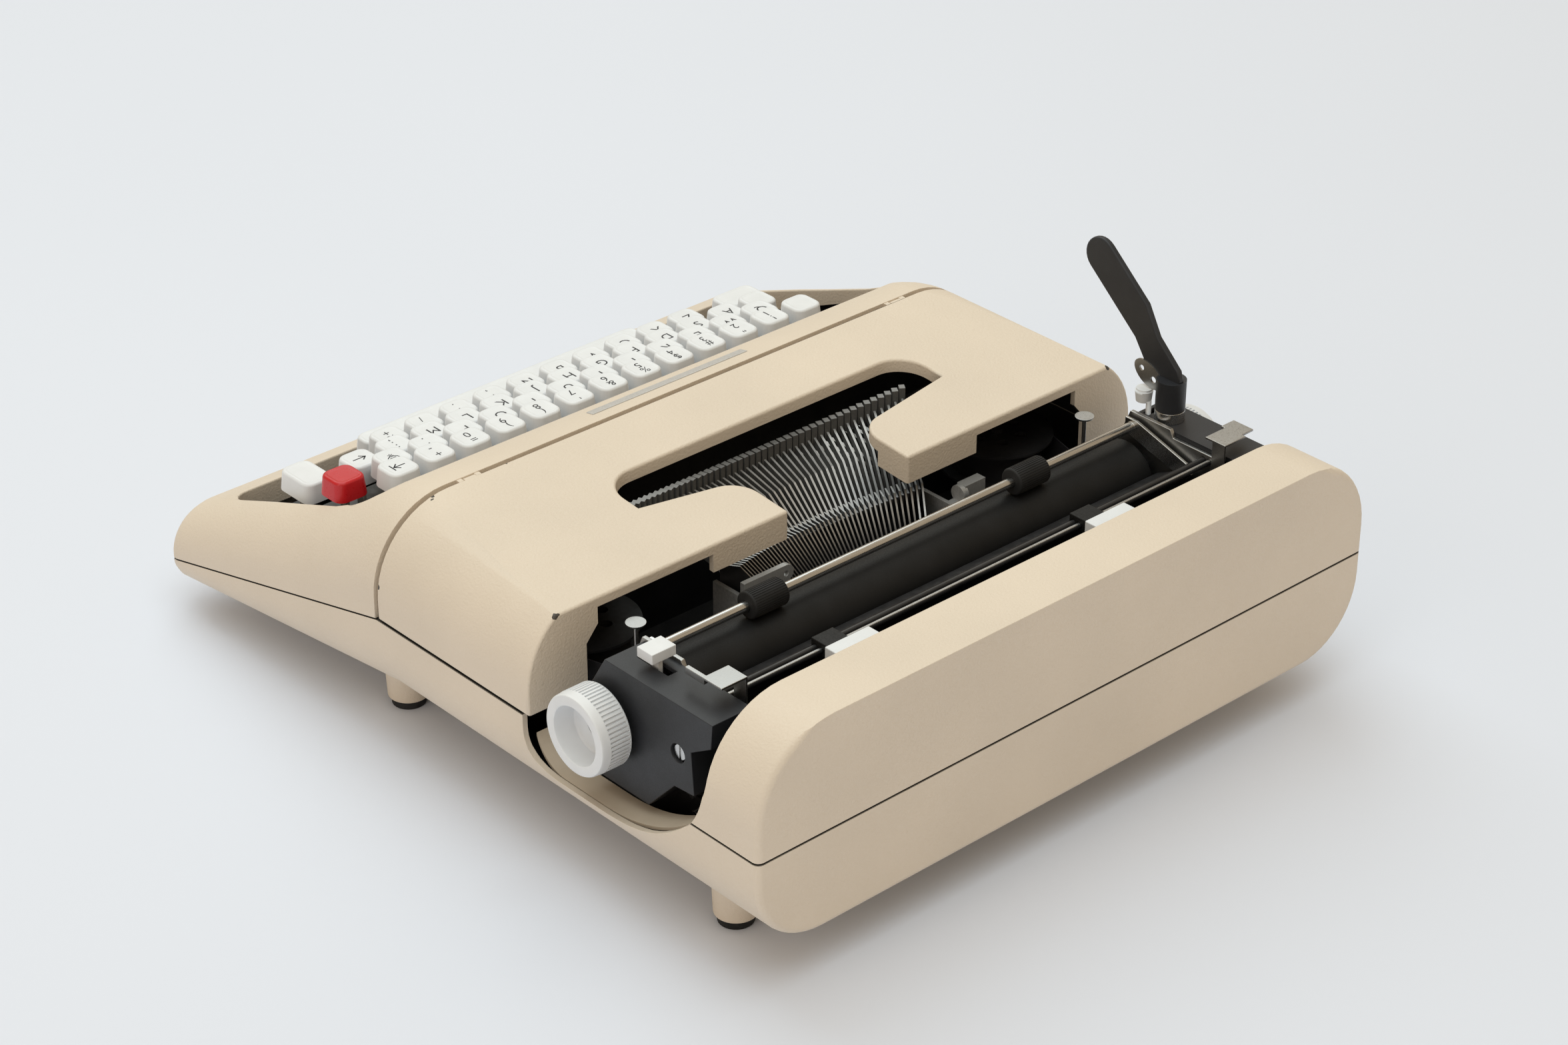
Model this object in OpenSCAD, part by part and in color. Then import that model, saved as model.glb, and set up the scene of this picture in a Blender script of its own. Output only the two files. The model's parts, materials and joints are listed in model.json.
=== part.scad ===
// Flat portable manual typewriter with a hinged ribbon cover and a moving carriage.
// X runs to the typist's right, Y to the rear, Z up. Millimetres.
// The origin is on the table under the middle of the casing.
// Inside works() y is counted from the rear face (negative towards the typist)
// and z from the casing seam.

/* [Casing] */
// Width over the casing sides
casing_w = 340; // [336:1:350]
// Depth from rear face to front nose
casing_d = 392; // [388:1:400]
// Thickness of the casing walls
wall = 2.5; // [2:0.1:3]
// Height of the casing seam above the table
seam_h = 65; // [63:1:70]
// Depth of the base below the seam, at the rear
belly = 45; // [44:0.5:46]
// Depth of the base below the seam, at the front
front_belly = 51.5; // [50:0.5:53]
// Radius of the lower long edges of the base, at the rear
lower_r = 33; // [28:1:34]
// Radius of the lower long edges of the base, at the front
front_lower_r = 9; // [7:1:12]
// Radius of the upper long edges of the covers
upper_r = 38; // [34:1:40]
// Visible gap along the casing seams
seam_gap = 0.6; // [0.4:0.1:0.9]

/* [Rear cover] */
// Height of the rear cover above the seam
rear_cover_h = 49.5; // [48:0.5:54]
// Depth of the rear cover along its top
rear_cover_d = 30; // [26:1:31]
// Radius of the sweep at the foot of the rear cover's side
rear_sweep_r = 40; // [36:1:46]

/* [Carriage bay] */
// Depth of the hand dips in the base sides below the seam
dip_depth = 24.5; // [24:0.5:27]
// Radius of the rear sweep of the dips
dip_r = 80; // [76:1:86]
// Radius at the front of the dips
dip_front_r = 18; // [14:1:20]

/* [Top cover] */
// Distance from rear face to the top cover's rear edge
top_cover_rear = 134; // [133:1:136]
// Height of the top cover above the seam, at the rear
top_rear_h = 39; // [38:0.5:42]
// Height of the top cover above the seam, at the front
top_front_h = 46.5; // [45:0.5:48]
// Distance from rear face to the front edge of the top cover
top_cover_front = 231.2; // [230:0.2:232]
// Width of the groove between the top cover and the front cover
groove_w = 2.8; // [2.6:0.1:4]
// Gap between the two arms of the top cover
arm_gap = 67; // [60:1:72]
// Reach of the type slot to the left
slot_left = 91; // [88:1:92]
// Reach of the type slot to the right
slot_right = 80; // [78:1:92]
// Distance from rear face to the front edge of the type slot
slot_front = 197; // [195:1:200]
// Depth of the turned-down edge of the slot
slot_skirt = 6; // [5:0.5:7]
// Depth of the turned-down rear edge of the arms
arm_skirt = 13; // [11:0.5:14]

/* [Front cover] */
// Slope of the front cover, rise over run
front_slope = 0.44; // [0.42:0.005:0.45]
// Radius of the front nose
nose_r = 20; // [18:1:21]
// Width of the casing beside the keyboard opening
keys_margin = 19; // [18:0.5:19.5]
// Distance from rear face to the keyboard opening
keys_rear = 254; // [252:1:256]
// Length of the keyboard opening
keys_d = 112; // [110:1:114]

/* [Feet] */
// Radius of a foot cup
foot_r = 9; // [7:0.5:10]
// Thickness of the rubber foot pads
pad_t = 4; // [3:0.5:6]

/* [Carriage] */
// Length of the platen
platen_len = 262; // [258:1:266]
// Radius of the platen
platen_r = 16; // [15:0.25:16.5]
// Radius of the platen shaft
shaft_r = 4; // [3:0.25:4.5]
// Running clearance of shafts and pins
fit = 0.06; // [0.03:0.01:0.1]
// Radius of the platen knobs
knob_r = 17.5; // [16:0.25:17.5]
// Length of the platen knobs
knob_len = 15; // [12:0.5:18]
// Radius of the hollow in a knob
knob_bore_r = 12.4; // [10:0.2:13.5]
// Width of an end cap
cap_w = 19.5; // [18:0.5:22]
// Radius of the paper bail rod
bail_r = 2.2; // [1.8:0.1:2.6]
// Radius of the paper bail rollers
bail_roller_r = 6; // [5:0.25:6.5]
// Length of a paper bail roller
bail_roller_len = 18; // [14:1:22]
// Length of the return lever's paddle
lever_len = 69; // [62:1:72]

/* [Keyboard] */
// Key pitches across the keyboard opening
keys_across = 16; // [15.9:0.05:16.15]
// Gap between the key caps of a row
key_gap = 2.6; // [2.4:0.1:5]
// Height of a key cap
key_h = 9; // [7:0.5:10]
// Depth from one key row to the next
row_step = 17.5; // [17:0.25:18]
// Drop from one key row to the next
row_drop = 6.3; // [5.5:0.1:7]
// Travel of a key
key_travel = 9; // [6:0.5:10]

/* [Type basket] */
// Thickness of a typebar
bar_t = 1; // [0.8:0.1:1.1]
// Width of a type slug
slug_w = 2.6; // [2:0.1:2.8]

/* [Hidden] */

half_w = casing_w / 2;
// Level of the seam face between base and covers
seam_z = -1.5;
base_rim_z = seam_z - seam_gap / 2;
cover_rim_z = seam_z + seam_gap / 2;
// Where the level seam ends and the sloping front seam starts
front_break_y = -(top_cover_front + groove_w / 2);
front_seam_slope = 0.252;
arc_steps = 12;
round_steps = 64;
// Least free gap between pieces that move past each other
free_gap = 0.3;

// Platen axis
platen_y = -99.5;
platen_z = 9;
// Carriage pieces from the platen outwards
platen_half = platen_len / 2;
arm_in = platen_half + 1.5;
bail_arm_t = 1.5;
plate_in = arm_in + bail_arm_t + 1.5;
plate_t = 2;
cap_in = plate_in + plate_t;
cap_out = cap_in + cap_w;
knob_in = cap_out + 3;
knob_out = knob_in + knob_len;
cap_top = 35;
plate_top = 36.5;
cap_wall = 2;

// Points along an arc, from angle a to angle b
function arc(cx, cy, r, a, b, n = arc_steps) =
  [for (i = [0 : n]) [cx + r * cos(a + (b - a) * i / n), cy + r * sin(a + (b - a) * i / n)]];

// Smaller of two values with the corner between them rounded over k
function soft_min(a, b, k) =
  min(a, b) - pow(max(k - abs(a - b), 0) / k, 2) * k / 4;

// Whole casing outline across X, inset by t
function casing_outline(top, t = 0) = concat(
  arc(half_w - lower_r, lower_r - belly, lower_r - t, -90, 0),
  arc(half_w - upper_r, top - upper_r, upper_r - t, 0, 90),
  arc(upper_r - half_w, top - upper_r, upper_r - t, 90, 180),
  arc(lower_r - half_w, lower_r - belly, lower_r - t, 180, 270)
);

// Side seam height at y, on the sloping front part
function seam_at(y) = seam_z + min(0, y - front_break_y) * front_seam_slope;

// Share of the way from the seam break to the nose
function front_share(y) = max(0, (front_break_y - y) / (casing_d + front_break_y));

// Inset of the rounded nose corners at y
nose_corner_r = 9;
function nose_inset(y) =
  let (s = min(nose_corner_r, y + casing_d))
  nose_corner_r - sqrt(max(0, nose_corner_r * nose_corner_r - pow(nose_corner_r - s, 2)));

// Top of the front cover at y
slope_y = -264.4;
slope_z = 37;
nose_y = nose_r - casing_d;
nose_z = slope_z + front_slope * (nose_y - slope_y) - nose_r * sqrt(1 + front_slope * front_slope);
nose_touch_y = nose_y - nose_r * front_slope / sqrt(1 + front_slope * front_slope);
function front_top(y) = y > nose_touch_y
  ? soft_min(top_front_h, slope_z + front_slope * (y - slope_y), 5)
  : nose_z + sqrt(max(0, nose_r * nose_r - pow(y - nose_y, 2)));

// Everything is placed from the rear face and the seam
module works() {
  translate([0, casing_d / 2, seam_h]) children();
}

// Outline in Y and Z, drawn out along X
module along_x(x0, x1) {
  translate([x0, 0, 0]) rotate([90, 0, 90]) linear_extrude(x1 - x0) children();
}

// Outline in X and Z, drawn out along Y
module along_y(y0, y1) {
  translate([0, y1, 0]) rotate([90, 0, 0]) linear_extrude(y1 - y0) children();
}

// Outline in X and Y, drawn out along Z
module along_z(z0, z1) {
  translate([0, 0, z0]) linear_extrude(z1 - z0) children();
}

// Round bar along X
module bar_x(x0, x1, y, z, r) {
  translate([x0, y, z]) rotate([0, 90, 0]) cylinder(h = x1 - x0, r = r, $fn = round_steps);
}

// Round bar along Z
module bar_z(x, y, z0, z1, r) {
  translate([x, y, z0]) cylinder(h = z1 - z0, r = r, $fn = round_steps);
}

// Box between two corners
module block(low, high) {
  translate(low) cube(high - low);
}

module both_sides() {
  children();
  mirror([1, 0, 0]) children();
}

// Skin through a row of rings with equal numbers of points, rear ring first
module skin(rings) {
  n = len(rings[0]);
  last = (len(rings) - 1) * n;
  polyhedron(
    points = [for (ring = rings) each ring],
    faces = concat(
      [[for (i = [0 : n - 1]) i]],
      [[for (i = [n - 1 : -1 : 0]) last + i]],
      [for (k = [0 : len(rings) - 2], i = [0 : n - 1])
        [k * n + i, (k + 1) * n + i, k * n + (i + 1) % n]],
      [for (k = [0 : len(rings) - 2], i = [0 : n - 1])
        [k * n + (i + 1) % n, (k + 1) * n + i, (k + 1) * n + (i + 1) % n]]
    )
  );
}

// Casing base

base_top = 4;
base_ys = [
  front_break_y, (front_break_y - casing_d) / 2, nose_corner_r - casing_d,
  5.5 - casing_d, 2.6 - casing_d, 0.8 - casing_d
];

function base_ring(y, inset) =
  let (
    share = front_share(y),
    nose = nose_inset(y),
    w = half_w - nose - inset,
    floor_z = -belly - (front_belly - belly) * share + nose + inset,
    r = max(2, lower_r + (front_lower_r - lower_r) * share - inset)
  )
  concat(
    [[-w, y, base_top + inset]],
    [for (p = arc(r - w, floor_z + r, r, -180, -90)) [p.x, y, p.y]],
    [for (p = arc(w - r, floor_z + r, r, -90, 0)) [p.x, y, p.y]],
    [[w, y, base_top + inset]]
  );

// Stations strictly between two ends, with the ends themselves
function stations(ys, rear_y, front_y) = concat(
  [rear_y], [for (y = ys) if (y < rear_y - 0.4 && y > front_y + 0.4) y], [front_y]
);

dip_floor_z = seam_z - dip_depth;
rear_sweep_z = 22;
dip_rear_y = -(rear_cover_d + rear_sweep_r - sqrt(pow(rear_sweep_r, 2) - pow(rear_sweep_z - seam_z, 2)));
dip_mid_y = dip_rear_y - sqrt(pow(dip_r, 2) - pow(dip_r - dip_depth, 2));
dip_front_y = -(top_cover_rear + 4);

// Rim of the base seen from the side, with the dips
function rim_line() = concat(
  [[1, base_rim_z], [dip_rear_y, base_rim_z]],
  arc(dip_mid_y, dip_floor_z + dip_r, dip_r, -90 + acos((dip_r - dip_depth) / dip_r), -90),
  arc(dip_front_y + dip_front_r, dip_floor_z + dip_front_r, dip_front_r, -90, -180),
  [[dip_front_y, base_rim_z], [front_break_y, base_rim_z],
    [-casing_d - 1, seam_at(-casing_d - 1) - seam_gap / 2]]
);

module base_skin(rear_y, front_y, inset) {
  skin([for (y = stations(base_ys, rear_y, front_y)) base_ring(y, inset)]);
}

module base_shell() color("wheat") works() {
  difference() {
    base_skin(0, -casing_d, 0);
    base_skin(-wall, wall - casing_d, wall);
    along_x(-casing_w, casing_w) polygon(concat(rim_line(), [[-casing_d - 1, 20], [1, 20]]));
  }
}

// Rear cover

module rear_cover() color("wheat") works() {
  sweep_a = asin((cover_rim_z - rear_sweep_z) / rear_sweep_r);
  difference() {
    intersection() {
      along_y(-casing_d / 2, 0) polygon(casing_outline(rear_cover_h));
      along_x(-casing_w, casing_w) polygon(concat(
        [[0, cover_rim_z]],
        arc(-rear_cover_d - rear_sweep_r, rear_sweep_z, rear_sweep_r, sweep_a, 0),
        [[-rear_cover_d, rear_cover_h + 1], [0, rear_cover_h + 1]]
      ));
    }
    along_y(-casing_d / 2, -wall) polygon(casing_outline(rear_cover_h, wall));
  }
}

// Top cover with its type slot

arm_half = arm_gap / 2;
arm_r = 14;
arm_front_y = -166;
slot_end_r = 15;
slot_side_y = -173;
top_slope = (top_front_h - top_rear_h) / (top_cover_front - top_cover_rear);
function top_at(y) = top_rear_h - (y + top_cover_rear) * top_slope;

// Type slot seen from above, grown by t
function slot_outline(t) = concat(
  arc(slot_right - slot_end_r, slot_end_r - slot_front, slot_end_r + t, 0, -90),
  arc(slot_end_r - slot_left, slot_end_r - slot_front, slot_end_r + t, -90, -180),
  [[-slot_left - t, slot_side_y + t]],
  arc(-arm_half - arm_r, arm_front_y + arm_r, arm_r - t, -81, 0),
  [[-arm_half - t, 5 - top_cover_rear], [arm_half + t, 5 - top_cover_rear]],
  arc(arm_half + arm_r, arm_front_y + arm_r, arm_r - t, 180, 261),
  [[slot_right + t, slot_side_y + t]]
);

module top_slab(t_low, t_high) {
  along_x(-casing_w, casing_w) polygon([
    [-top_cover_front, top_front_h - t_low], [-top_cover_rear, top_rear_h - t_low],
    [-top_cover_rear, top_rear_h - t_high], [-top_cover_front, top_front_h - t_high]
  ]);
}

rear_mouth_x = 134;
rear_mouth_drop = 4.5;
arm_skirt_x = 74;
hinge_y = -(top_cover_front + groove_w / 2 - 0.2);
hinge_z = top_front_h - 1.5;
hinge_pin_r = 0.8;
hinge_lug_r = 1.35;
hinge_bracket_r = 1.1;
hinge_x = 120;
hinge_knuckle = 6;

module top_cover() color("wheat") works() {
  difference() {
    union() {
      difference() {
        intersection() {
          along_y(-top_cover_front, -top_cover_rear) polygon(casing_outline(top_front_h));
          top_slab(100, 0);
        }
        intersection() {
          along_y(wall - top_cover_front, -top_cover_rear - wall)
            polygon(casing_outline(top_front_h, wall));
          top_slab(100, wall);
        }
        // mouth in the rear wall, over the works
        along_y(-top_cover_rear - 2 * wall, 1 - top_cover_rear) polygon([
          [-rear_mouth_x - 6, -20], [-rear_mouth_x - 6, 20], [-rear_mouth_x, 27],
          [-rear_mouth_x, top_rear_h - rear_mouth_drop], [rear_mouth_x, top_rear_h - rear_mouth_drop],
          [rear_mouth_x, 27], [rear_mouth_x + 6, 20], [rear_mouth_x + 6, -20]
        ]);
      }
      // turned-down edges of the slot and of the arms
      intersection() {
        along_z(0, 60) polygon(slot_outline(wall));
        top_slab(slot_skirt, 0.5);
      }
      intersection() {
        along_z(0, 60) polygon([
          [-arm_skirt_x, -top_cover_rear - wall], [arm_skirt_x, -top_cover_rear - wall],
          [arm_skirt_x, -top_cover_rear], [-arm_skirt_x, -top_cover_rear]
        ]);
        top_slab(arm_skirt, 0.5);
      }
      intersection() {
        both_sides() block([arm_half - 1, arm_front_y + arm_r, 0], [arm_half + wall, -top_cover_rear, 60]);
        top_slab(arm_skirt, 0.5);
      }
      both_sides() hinge_lug();
    }
    along_z(0, 80) polygon(slot_outline(0));
    block([-casing_w, -casing_d, -100], [casing_w, 0, cover_rim_z]);
    both_sides() bar_x(hinge_x - 30, hinge_x + 30, hinge_y, hinge_z, hinge_pin_r + fit);
  }
}

// Lug of the cover that turns on the hinge pin
module hinge_lug() {
  block([hinge_x - hinge_knuckle / 2, hinge_y, hinge_z - hinge_lug_r],
    [hinge_x + hinge_knuckle / 2, 1 - top_cover_front, hinge_z + hinge_lug_r]);
  bar_x(hinge_x - hinge_knuckle / 2, hinge_x + hinge_knuckle / 2, hinge_y, hinge_z, hinge_lug_r);
}

// Brackets on the front cover, with a pin through the lug between them
bracket_w = 2.4;
module cover_hinges() color("dimgray") works() {
  both_sides() {
    for (side = [-1, 1]) translate([hinge_x + side * (hinge_knuckle / 2 + free_gap + bracket_w / 2), 0, 0]) {
      block([-bracket_w / 2, front_rear_y, hinge_z - hinge_bracket_r], [bracket_w / 2, hinge_y, hinge_z + hinge_bracket_r]);
      bar_x(-bracket_w / 2, bracket_w / 2, hinge_y, hinge_z, hinge_bracket_r);
    }
    pin_half = hinge_knuckle / 2 + free_gap + bracket_w;
    bar_x(hinge_x - pin_half, hinge_x + pin_half, hinge_y, hinge_z, hinge_pin_r);
  }
}

// Front cover with the keyboard opening

front_rear_y = -(top_cover_front + groove_w);
front_ys = [
  -238, -241, -244, -247, -251, -256, -264, -285, -310, -340,
  nose_y, nose_touch_y, 8 - casing_d, 5.5 - casing_d, 2.6 - casing_d, 0.8 - casing_d
];

function front_ring(y, inset) =
  let (
    w = half_w - nose_inset(y) - inset,
    top = front_top(y) - inset,
    r = max(2, min(upper_r, 0.9 * (front_top(y) - seam_at(y))) - inset)
  )
  concat(
    [[w, y, seam_at(y) - 6]],
    [for (p = arc(w - r, top - r, r, 0, 90)) [p.x, y, p.y]],
    [for (p = arc(r - w, top - r, r, 90, 180)) [p.x, y, p.y]],
    [[-w, y, seam_at(y) - 6]]
  );

module front_skin(rear_y, front_y, inset) {
  skin([for (y = stations(front_ys, rear_y, front_y)) front_ring(y, inset)]);
}

// Keyboard opening seen from above, grown by t
keys_w = casing_w - 2 * keys_margin;
keys_front = keys_rear + keys_d;
keys_rear_r = 22;
keys_front_r = 10;
function keys_outline(t) = concat(
  arc(keys_w / 2 - keys_front_r, keys_front_r - keys_front, keys_front_r + t, -90, 0),
  arc(keys_w / 2 - keys_rear_r, -keys_rear - keys_rear_r, keys_rear_r + t, 0, 90),
  arc(keys_rear_r - keys_w / 2, -keys_rear - keys_rear_r, keys_rear_r + t, 90, 180),
  arc(keys_front_r - keys_w / 2, keys_front_r - keys_front, keys_front_r + t, 180, 270)
);

skirt_depth = 12;
skirt_t = 2;
skirt_ys = [for (y = [-240 : -10 : -370]) y];
// How far the skirt's top stays below the skin
skirt_sink = 0.6;

module front_cover() color("wheat") works() {
  difference() {
    union() {
      difference() {
        front_skin(front_rear_y, -casing_d, 0);
        front_skin(front_rear_y - wall, wall - casing_d, wall);
      }
      intersection() {
        along_z(-60, 80) polygon(keys_outline(skirt_t));
        along_x(-casing_w, casing_w) polygon(concat(
          [for (y = skirt_ys) [y, front_top(y) - skirt_sink]],
          [for (i = [len(skirt_ys) - 1 : -1 : 0]) [skirt_ys[i], front_top(skirt_ys[i]) - skirt_depth]]
        ));
        front_skin(front_rear_y, -casing_d, skirt_sink);
      }
    }
    along_z(-60, 80) polygon(keys_outline(0));
    along_x(-casing_w, casing_w) polygon([
      [0, cover_rim_z], [front_break_y, cover_rim_z],
      [-casing_d - 1, seam_at(-casing_d - 1) + seam_gap / 2], [-casing_d - 1, -90], [0, -90]
    ]);
  }
}

// Feet

foot_x = half_w - 30;
foot_rear_y = -46.5;
foot_front_y = -256;

module at_feet() {
  for (x = [-foot_x, foot_x], y = [foot_front_y, foot_rear_y]) translate([x, y, 0]) children();
}

module feet() color("wheat") works() {
  difference() {
    at_feet() translate([0, 0, pad_t - seam_h])
      cylinder(h = seam_h - pad_t - belly + 8, r1 = foot_r, r2 = foot_r + 1, $fn = round_steps);
    base_skin(0, -casing_d, 0);
  }
}

module foot_pads() color([0.07, 0.07, 0.07]) works() {
  at_feet() translate([0, 0, -seam_h]) cylinder(h = pad_t, r = foot_r - 1.5, $fn = round_steps);
}

// Beige lining under the ends of the carriage

trough_t = 1.5;
trough_gap = 0.8;
trough_w = 12;
module side_troughs() color("tan") works() {
  line = concat(
    arc(dip_mid_y, dip_floor_z + dip_r, dip_r, -90 + acos((dip_r - dip_depth) / dip_r) - 4, -90),
    arc(dip_front_y + dip_front_r, dip_floor_z + dip_front_r, dip_front_r, -90, -165)
  );
  trough_out = half_w - wall - trough_gap - 3;
  intersection() {
    both_sides() along_x(trough_out - trough_w, trough_out) polygon(concat(
      line,
      [for (i = [len(line) - 1 : -1 : 0]) [line[i].x, line[i].y - trough_t]]
    ));
    along_y(-casing_d, 0) polygon(casing_outline(rear_cover_h, wall));
  }
}

// Frame and rails

frame_x = half_w - lower_r - 3;
frame_t = 2;
floor_z = wall - belly;
rail_r = 3;
rail_z = -26;
front_rail_y = -104;
rear_rail_y = -66;
// The side plates stay under the carriage and hold the rails in open saddles
saddle_z = rail_z + rail_r - free_gap;
// Height of the side plates under the ribbon spools
plate_front_z = -12;
cross_bar_y = -204;
drum_x = -100;
drum_y = -85;
drum_r = 14;
wheel_x = 20;
wheel_y = -85;
stud_r = 3;
stud_top = -29;
module main_frame() color("dimgray") works() {
  difference() {
    union() {
      both_sides() along_x(frame_x, frame_x + frame_t) polygon([
        [cross_bar_y - 2, floor_z], [-42, floor_z], [-42, -32], [-58, -32], [-62, saddle_z],
        [-110, saddle_z], [post_y + 4.5, post_foot], [post_y - 4.5, post_foot],
        [post_y - 8.5, plate_front_z], [cross_bar_y - 2, plate_front_z]
      ]);
      block([-frame_x, cross_bar_y - 2, floor_z], [frame_x, cross_bar_y, -14]);
      block([-frame_x, -46, floor_z], [frame_x, -44, -32]);
      block([-frame_x, -126, floor_z], [frame_x, -124, -34]);
      block([-frame_x, -138, floor_z], [frame_x, -44, floor_z + 1.5]);
      bar_z(drum_x, drum_y, floor_z, stud_top, stud_r);
      bar_z(wheel_x, wheel_y, floor_z, bed_z - 0.6, stud_r);
      bar_z(bell_x, bell_y, floor_z, bell_floor + 0.05, 2.5);
      block([bell_x - 19, bell_y - 2, floor_z], [bell_x - 16.8, bell_y + 2, bell_floor - 2]);
      both_sides() bar_z(spool_x, spool_y, floor_z, spool_floor + spool_h + 2, spool_pin_r);
      block([-frame_x, spool_y - 4, floor_z], [frame_x, spool_y + 4, floor_z + 1.5]);
      // guides that the side plates of the type basket slide on
      both_sides() block([basket_side, -144, floor_z], [basket_side + 3, -134, -2]);
    }
    bar_x(-half_w, half_w, front_rail_y, rail_z, rail_r + fit);
    bar_x(-half_w, half_w, rear_rail_y, rail_z, rail_r + fit);
  }
}

module carriage_rails() color("silver") works() {
  for (y = [front_rail_y, rear_rail_y]) bar_x(-frame_x - 10, frame_x + 10, y, rail_z, rail_r);
}

// Bell and its hammer

bell_x = 100;
bell_y = -85;
bell_floor = -38;
bell_r = 13;
module bell() color("gainsboro") works() {
  difference() {
    intersection() {
      translate([bell_x, bell_y, bell_floor]) sphere(r = bell_r, $fn = round_steps);
      block([bell_x - 20, bell_y - 20, bell_floor + 0.1], [bell_x + 20, bell_y + 20, bell_floor + 12]);
    }
    intersection() {
      translate([bell_x, bell_y, bell_floor]) sphere(r = bell_r - 1.2, $fn = round_steps);
      block([bell_x - 20, bell_y - 20, bell_floor - 1], [bell_x + 20, bell_y + 20, bell_floor + 9]);
    }
  }
  bar_z(bell_x, bell_y, bell_floor + 0.1, bell_floor + 9.5, 2.5);
}

hammer_x = bell_x - 17.9;
module bell_hammer() color("silver") works() {
  block([hammer_x - 1.1, bell_y - 1.5, bell_floor - 1.5], [hammer_x + 1.1, bell_y + 1.5, bell_floor + 3]);
  translate([hammer_x, bell_y, bell_floor + 5]) sphere(r = 2.6, $fn = round_steps);
}

// Spring drum that pulls the carriage, and the escapement

module mainspring_drum() color("silver") works() {
  difference() {
    union() {
      bar_z(drum_x, drum_y, floor_z + 2, stud_top - 1, drum_r);
      bar_z(drum_x, drum_y, floor_z + 2, floor_z + 3.5, drum_r + 2);
      bar_z(drum_x, drum_y, stud_top - 2.5, stud_top - 1, drum_r + 2);
    }
    bar_z(drum_x, drum_y, floor_z, stud_top + 1, stud_r + fit);
    // slot for the hook of the pull band
    block([drum_x + drum_r - 3, drum_y - 2, floor_z + 5], [drum_x + drum_r + 3, drum_y + 2, stud_top - 4]);
  }
}

pinion_teeth = 20;
tooth_pitch = 3;
pinion_r = pinion_teeth * tooth_pitch / (2 * PI);
tooth_h = 1.1;
rack_y = wheel_y + pinion_r;
escape_teeth = 24;
// Underside of the carriage bed, with the rack just below it
bed_z = -19;
rack_t = 2.2;
rack_gap = 0.4;
rack_low = bed_z - rack_t - rack_gap;
module escapement_wheel() color("silver") works() {
  translate([wheel_x, wheel_y, 0]) difference() {
    union() {
      along_z(floor_z + 3, floor_z + 6) polygon([for (i = [0 : escape_teeth - 1], k = [0, 1])
        let (r = k == 0 ? 17 : 14.6, a = (i + k * 0.85) * 360 / escape_teeth) [r * cos(a), r * sin(a)]]);
      bar_z(0, 0, floor_z + 5.9, rack_low - 0.4, 6);
      along_z(rack_low - 0.5, bed_z - 0.5) polygon([for (i = [0 : pinion_teeth - 1], k = [-2, -1, 1, 2])
        let (
          r = abs(k) == 2 ? pinion_r - tooth_h : pinion_r + tooth_h,
          w = abs(k) == 2 ? 0.34 : 0.12,
          a = 90 + (i + sign(k) * w) * 360 / pinion_teeth
        ) [r * cos(a), r * sin(a)]]);
    }
    bar_z(0, 0, floor_z, 0, stud_r + fit);
  }
}

rack_half = 118;
rack_teeth = floor(rack_half / tooth_pitch);
module escapement_rack() color("silver") works() {
  along_z(rack_low, rack_low + rack_t) polygon(concat(
    [for (i = [-rack_teeth : rack_teeth], k = [-2, -1, 1, 2])
      let (w = abs(k) == 2 ? 0.3 : 0.12)
      [wheel_x + (i + 0.5 + sign(k) * w) * tooth_pitch, rack_y + (abs(k) == 2 ? 1.4 : -0.7)]],
    [[wheel_x + rack_half + 2, rack_y + 4], [wheel_x - rack_half - 2, rack_y + 4]]
  ));
  block([wheel_x - rack_half, rack_y + 2, rack_low + rack_t - 0.1], [wheel_x + rack_half, rack_y + 4, bed_z]);
}

// Ribbon spools, posts, ribbon and its lifting fork

spool_x = half_w - 52;
spool_y = -165;
spool_floor = -8;
spool_h = 16;
spool_r = 25;
roll_r = 20;
spool_pin_r = 3;
module ribbon_spool(x) {
  difference() {
    union() {
      bar_z(x, spool_y, spool_floor, spool_floor + 1, spool_r);
      bar_z(x, spool_y, spool_floor + spool_h - 1, spool_floor + spool_h, spool_r);
      bar_z(x, spool_y, spool_floor, spool_floor + spool_h, roll_r);
    }
    bar_z(x, spool_y, spool_floor - 1, spool_floor + spool_h + 1, spool_pin_r + fit);
    for (a = [0 : 60 : 300]) translate([x, spool_y, spool_floor + spool_h - 4])
      rotate(a) translate([11, 0, 0]) cylinder(h = 10, r = 2.5, $fn = 24);
  }
}

module ribbon_spool_left() color("gray") works() ribbon_spool(-spool_x);

module ribbon_spool_right() color("gray") works() ribbon_spool(spool_x);

post_x = half_w - 44;
post_y = -120.5;
post_r = 0.9;
post_top = 30.3;
post_disc_r = 4.3;
post_foot = spool_floor + 0.5;
post_foot_t = 2;
module ribbon_posts() color("silver") works() {
  both_sides() {
    bar_z(post_x, post_y, post_foot, post_top, post_r);
    translate([post_x, post_y, post_top - 1]) cylinder(h = 1.2, r1 = post_disc_r - 0.6, r2 = post_disc_r, $fn = round_steps);
    block([post_x - 4, post_y - 3, post_foot - post_foot_t], [frame_x - 0.2, post_y + 3, post_foot]);
    block([frame_x - 1.4, post_y - 3, post_foot - 9], [frame_x, post_y + 3, post_foot]);
  }
}

ribbon_t = 0.4;
ribbon_low = spool_floor + 1.3;
ribbon_high = spool_floor + spool_h - 1.3;
ribbon_line_y = post_y + post_r + free_gap;
ribbon_roll_r = roll_r + 4 * free_gap;
ribbon_post_r = post_r + free_gap;
// Direction from the roll and the post to the straight run between them
ribbon_a = atan2(post_y - spool_y, post_x - spool_x)
  - acos((ribbon_roll_r - ribbon_post_r) / norm([post_x - spool_x, post_y - spool_y]));

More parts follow.
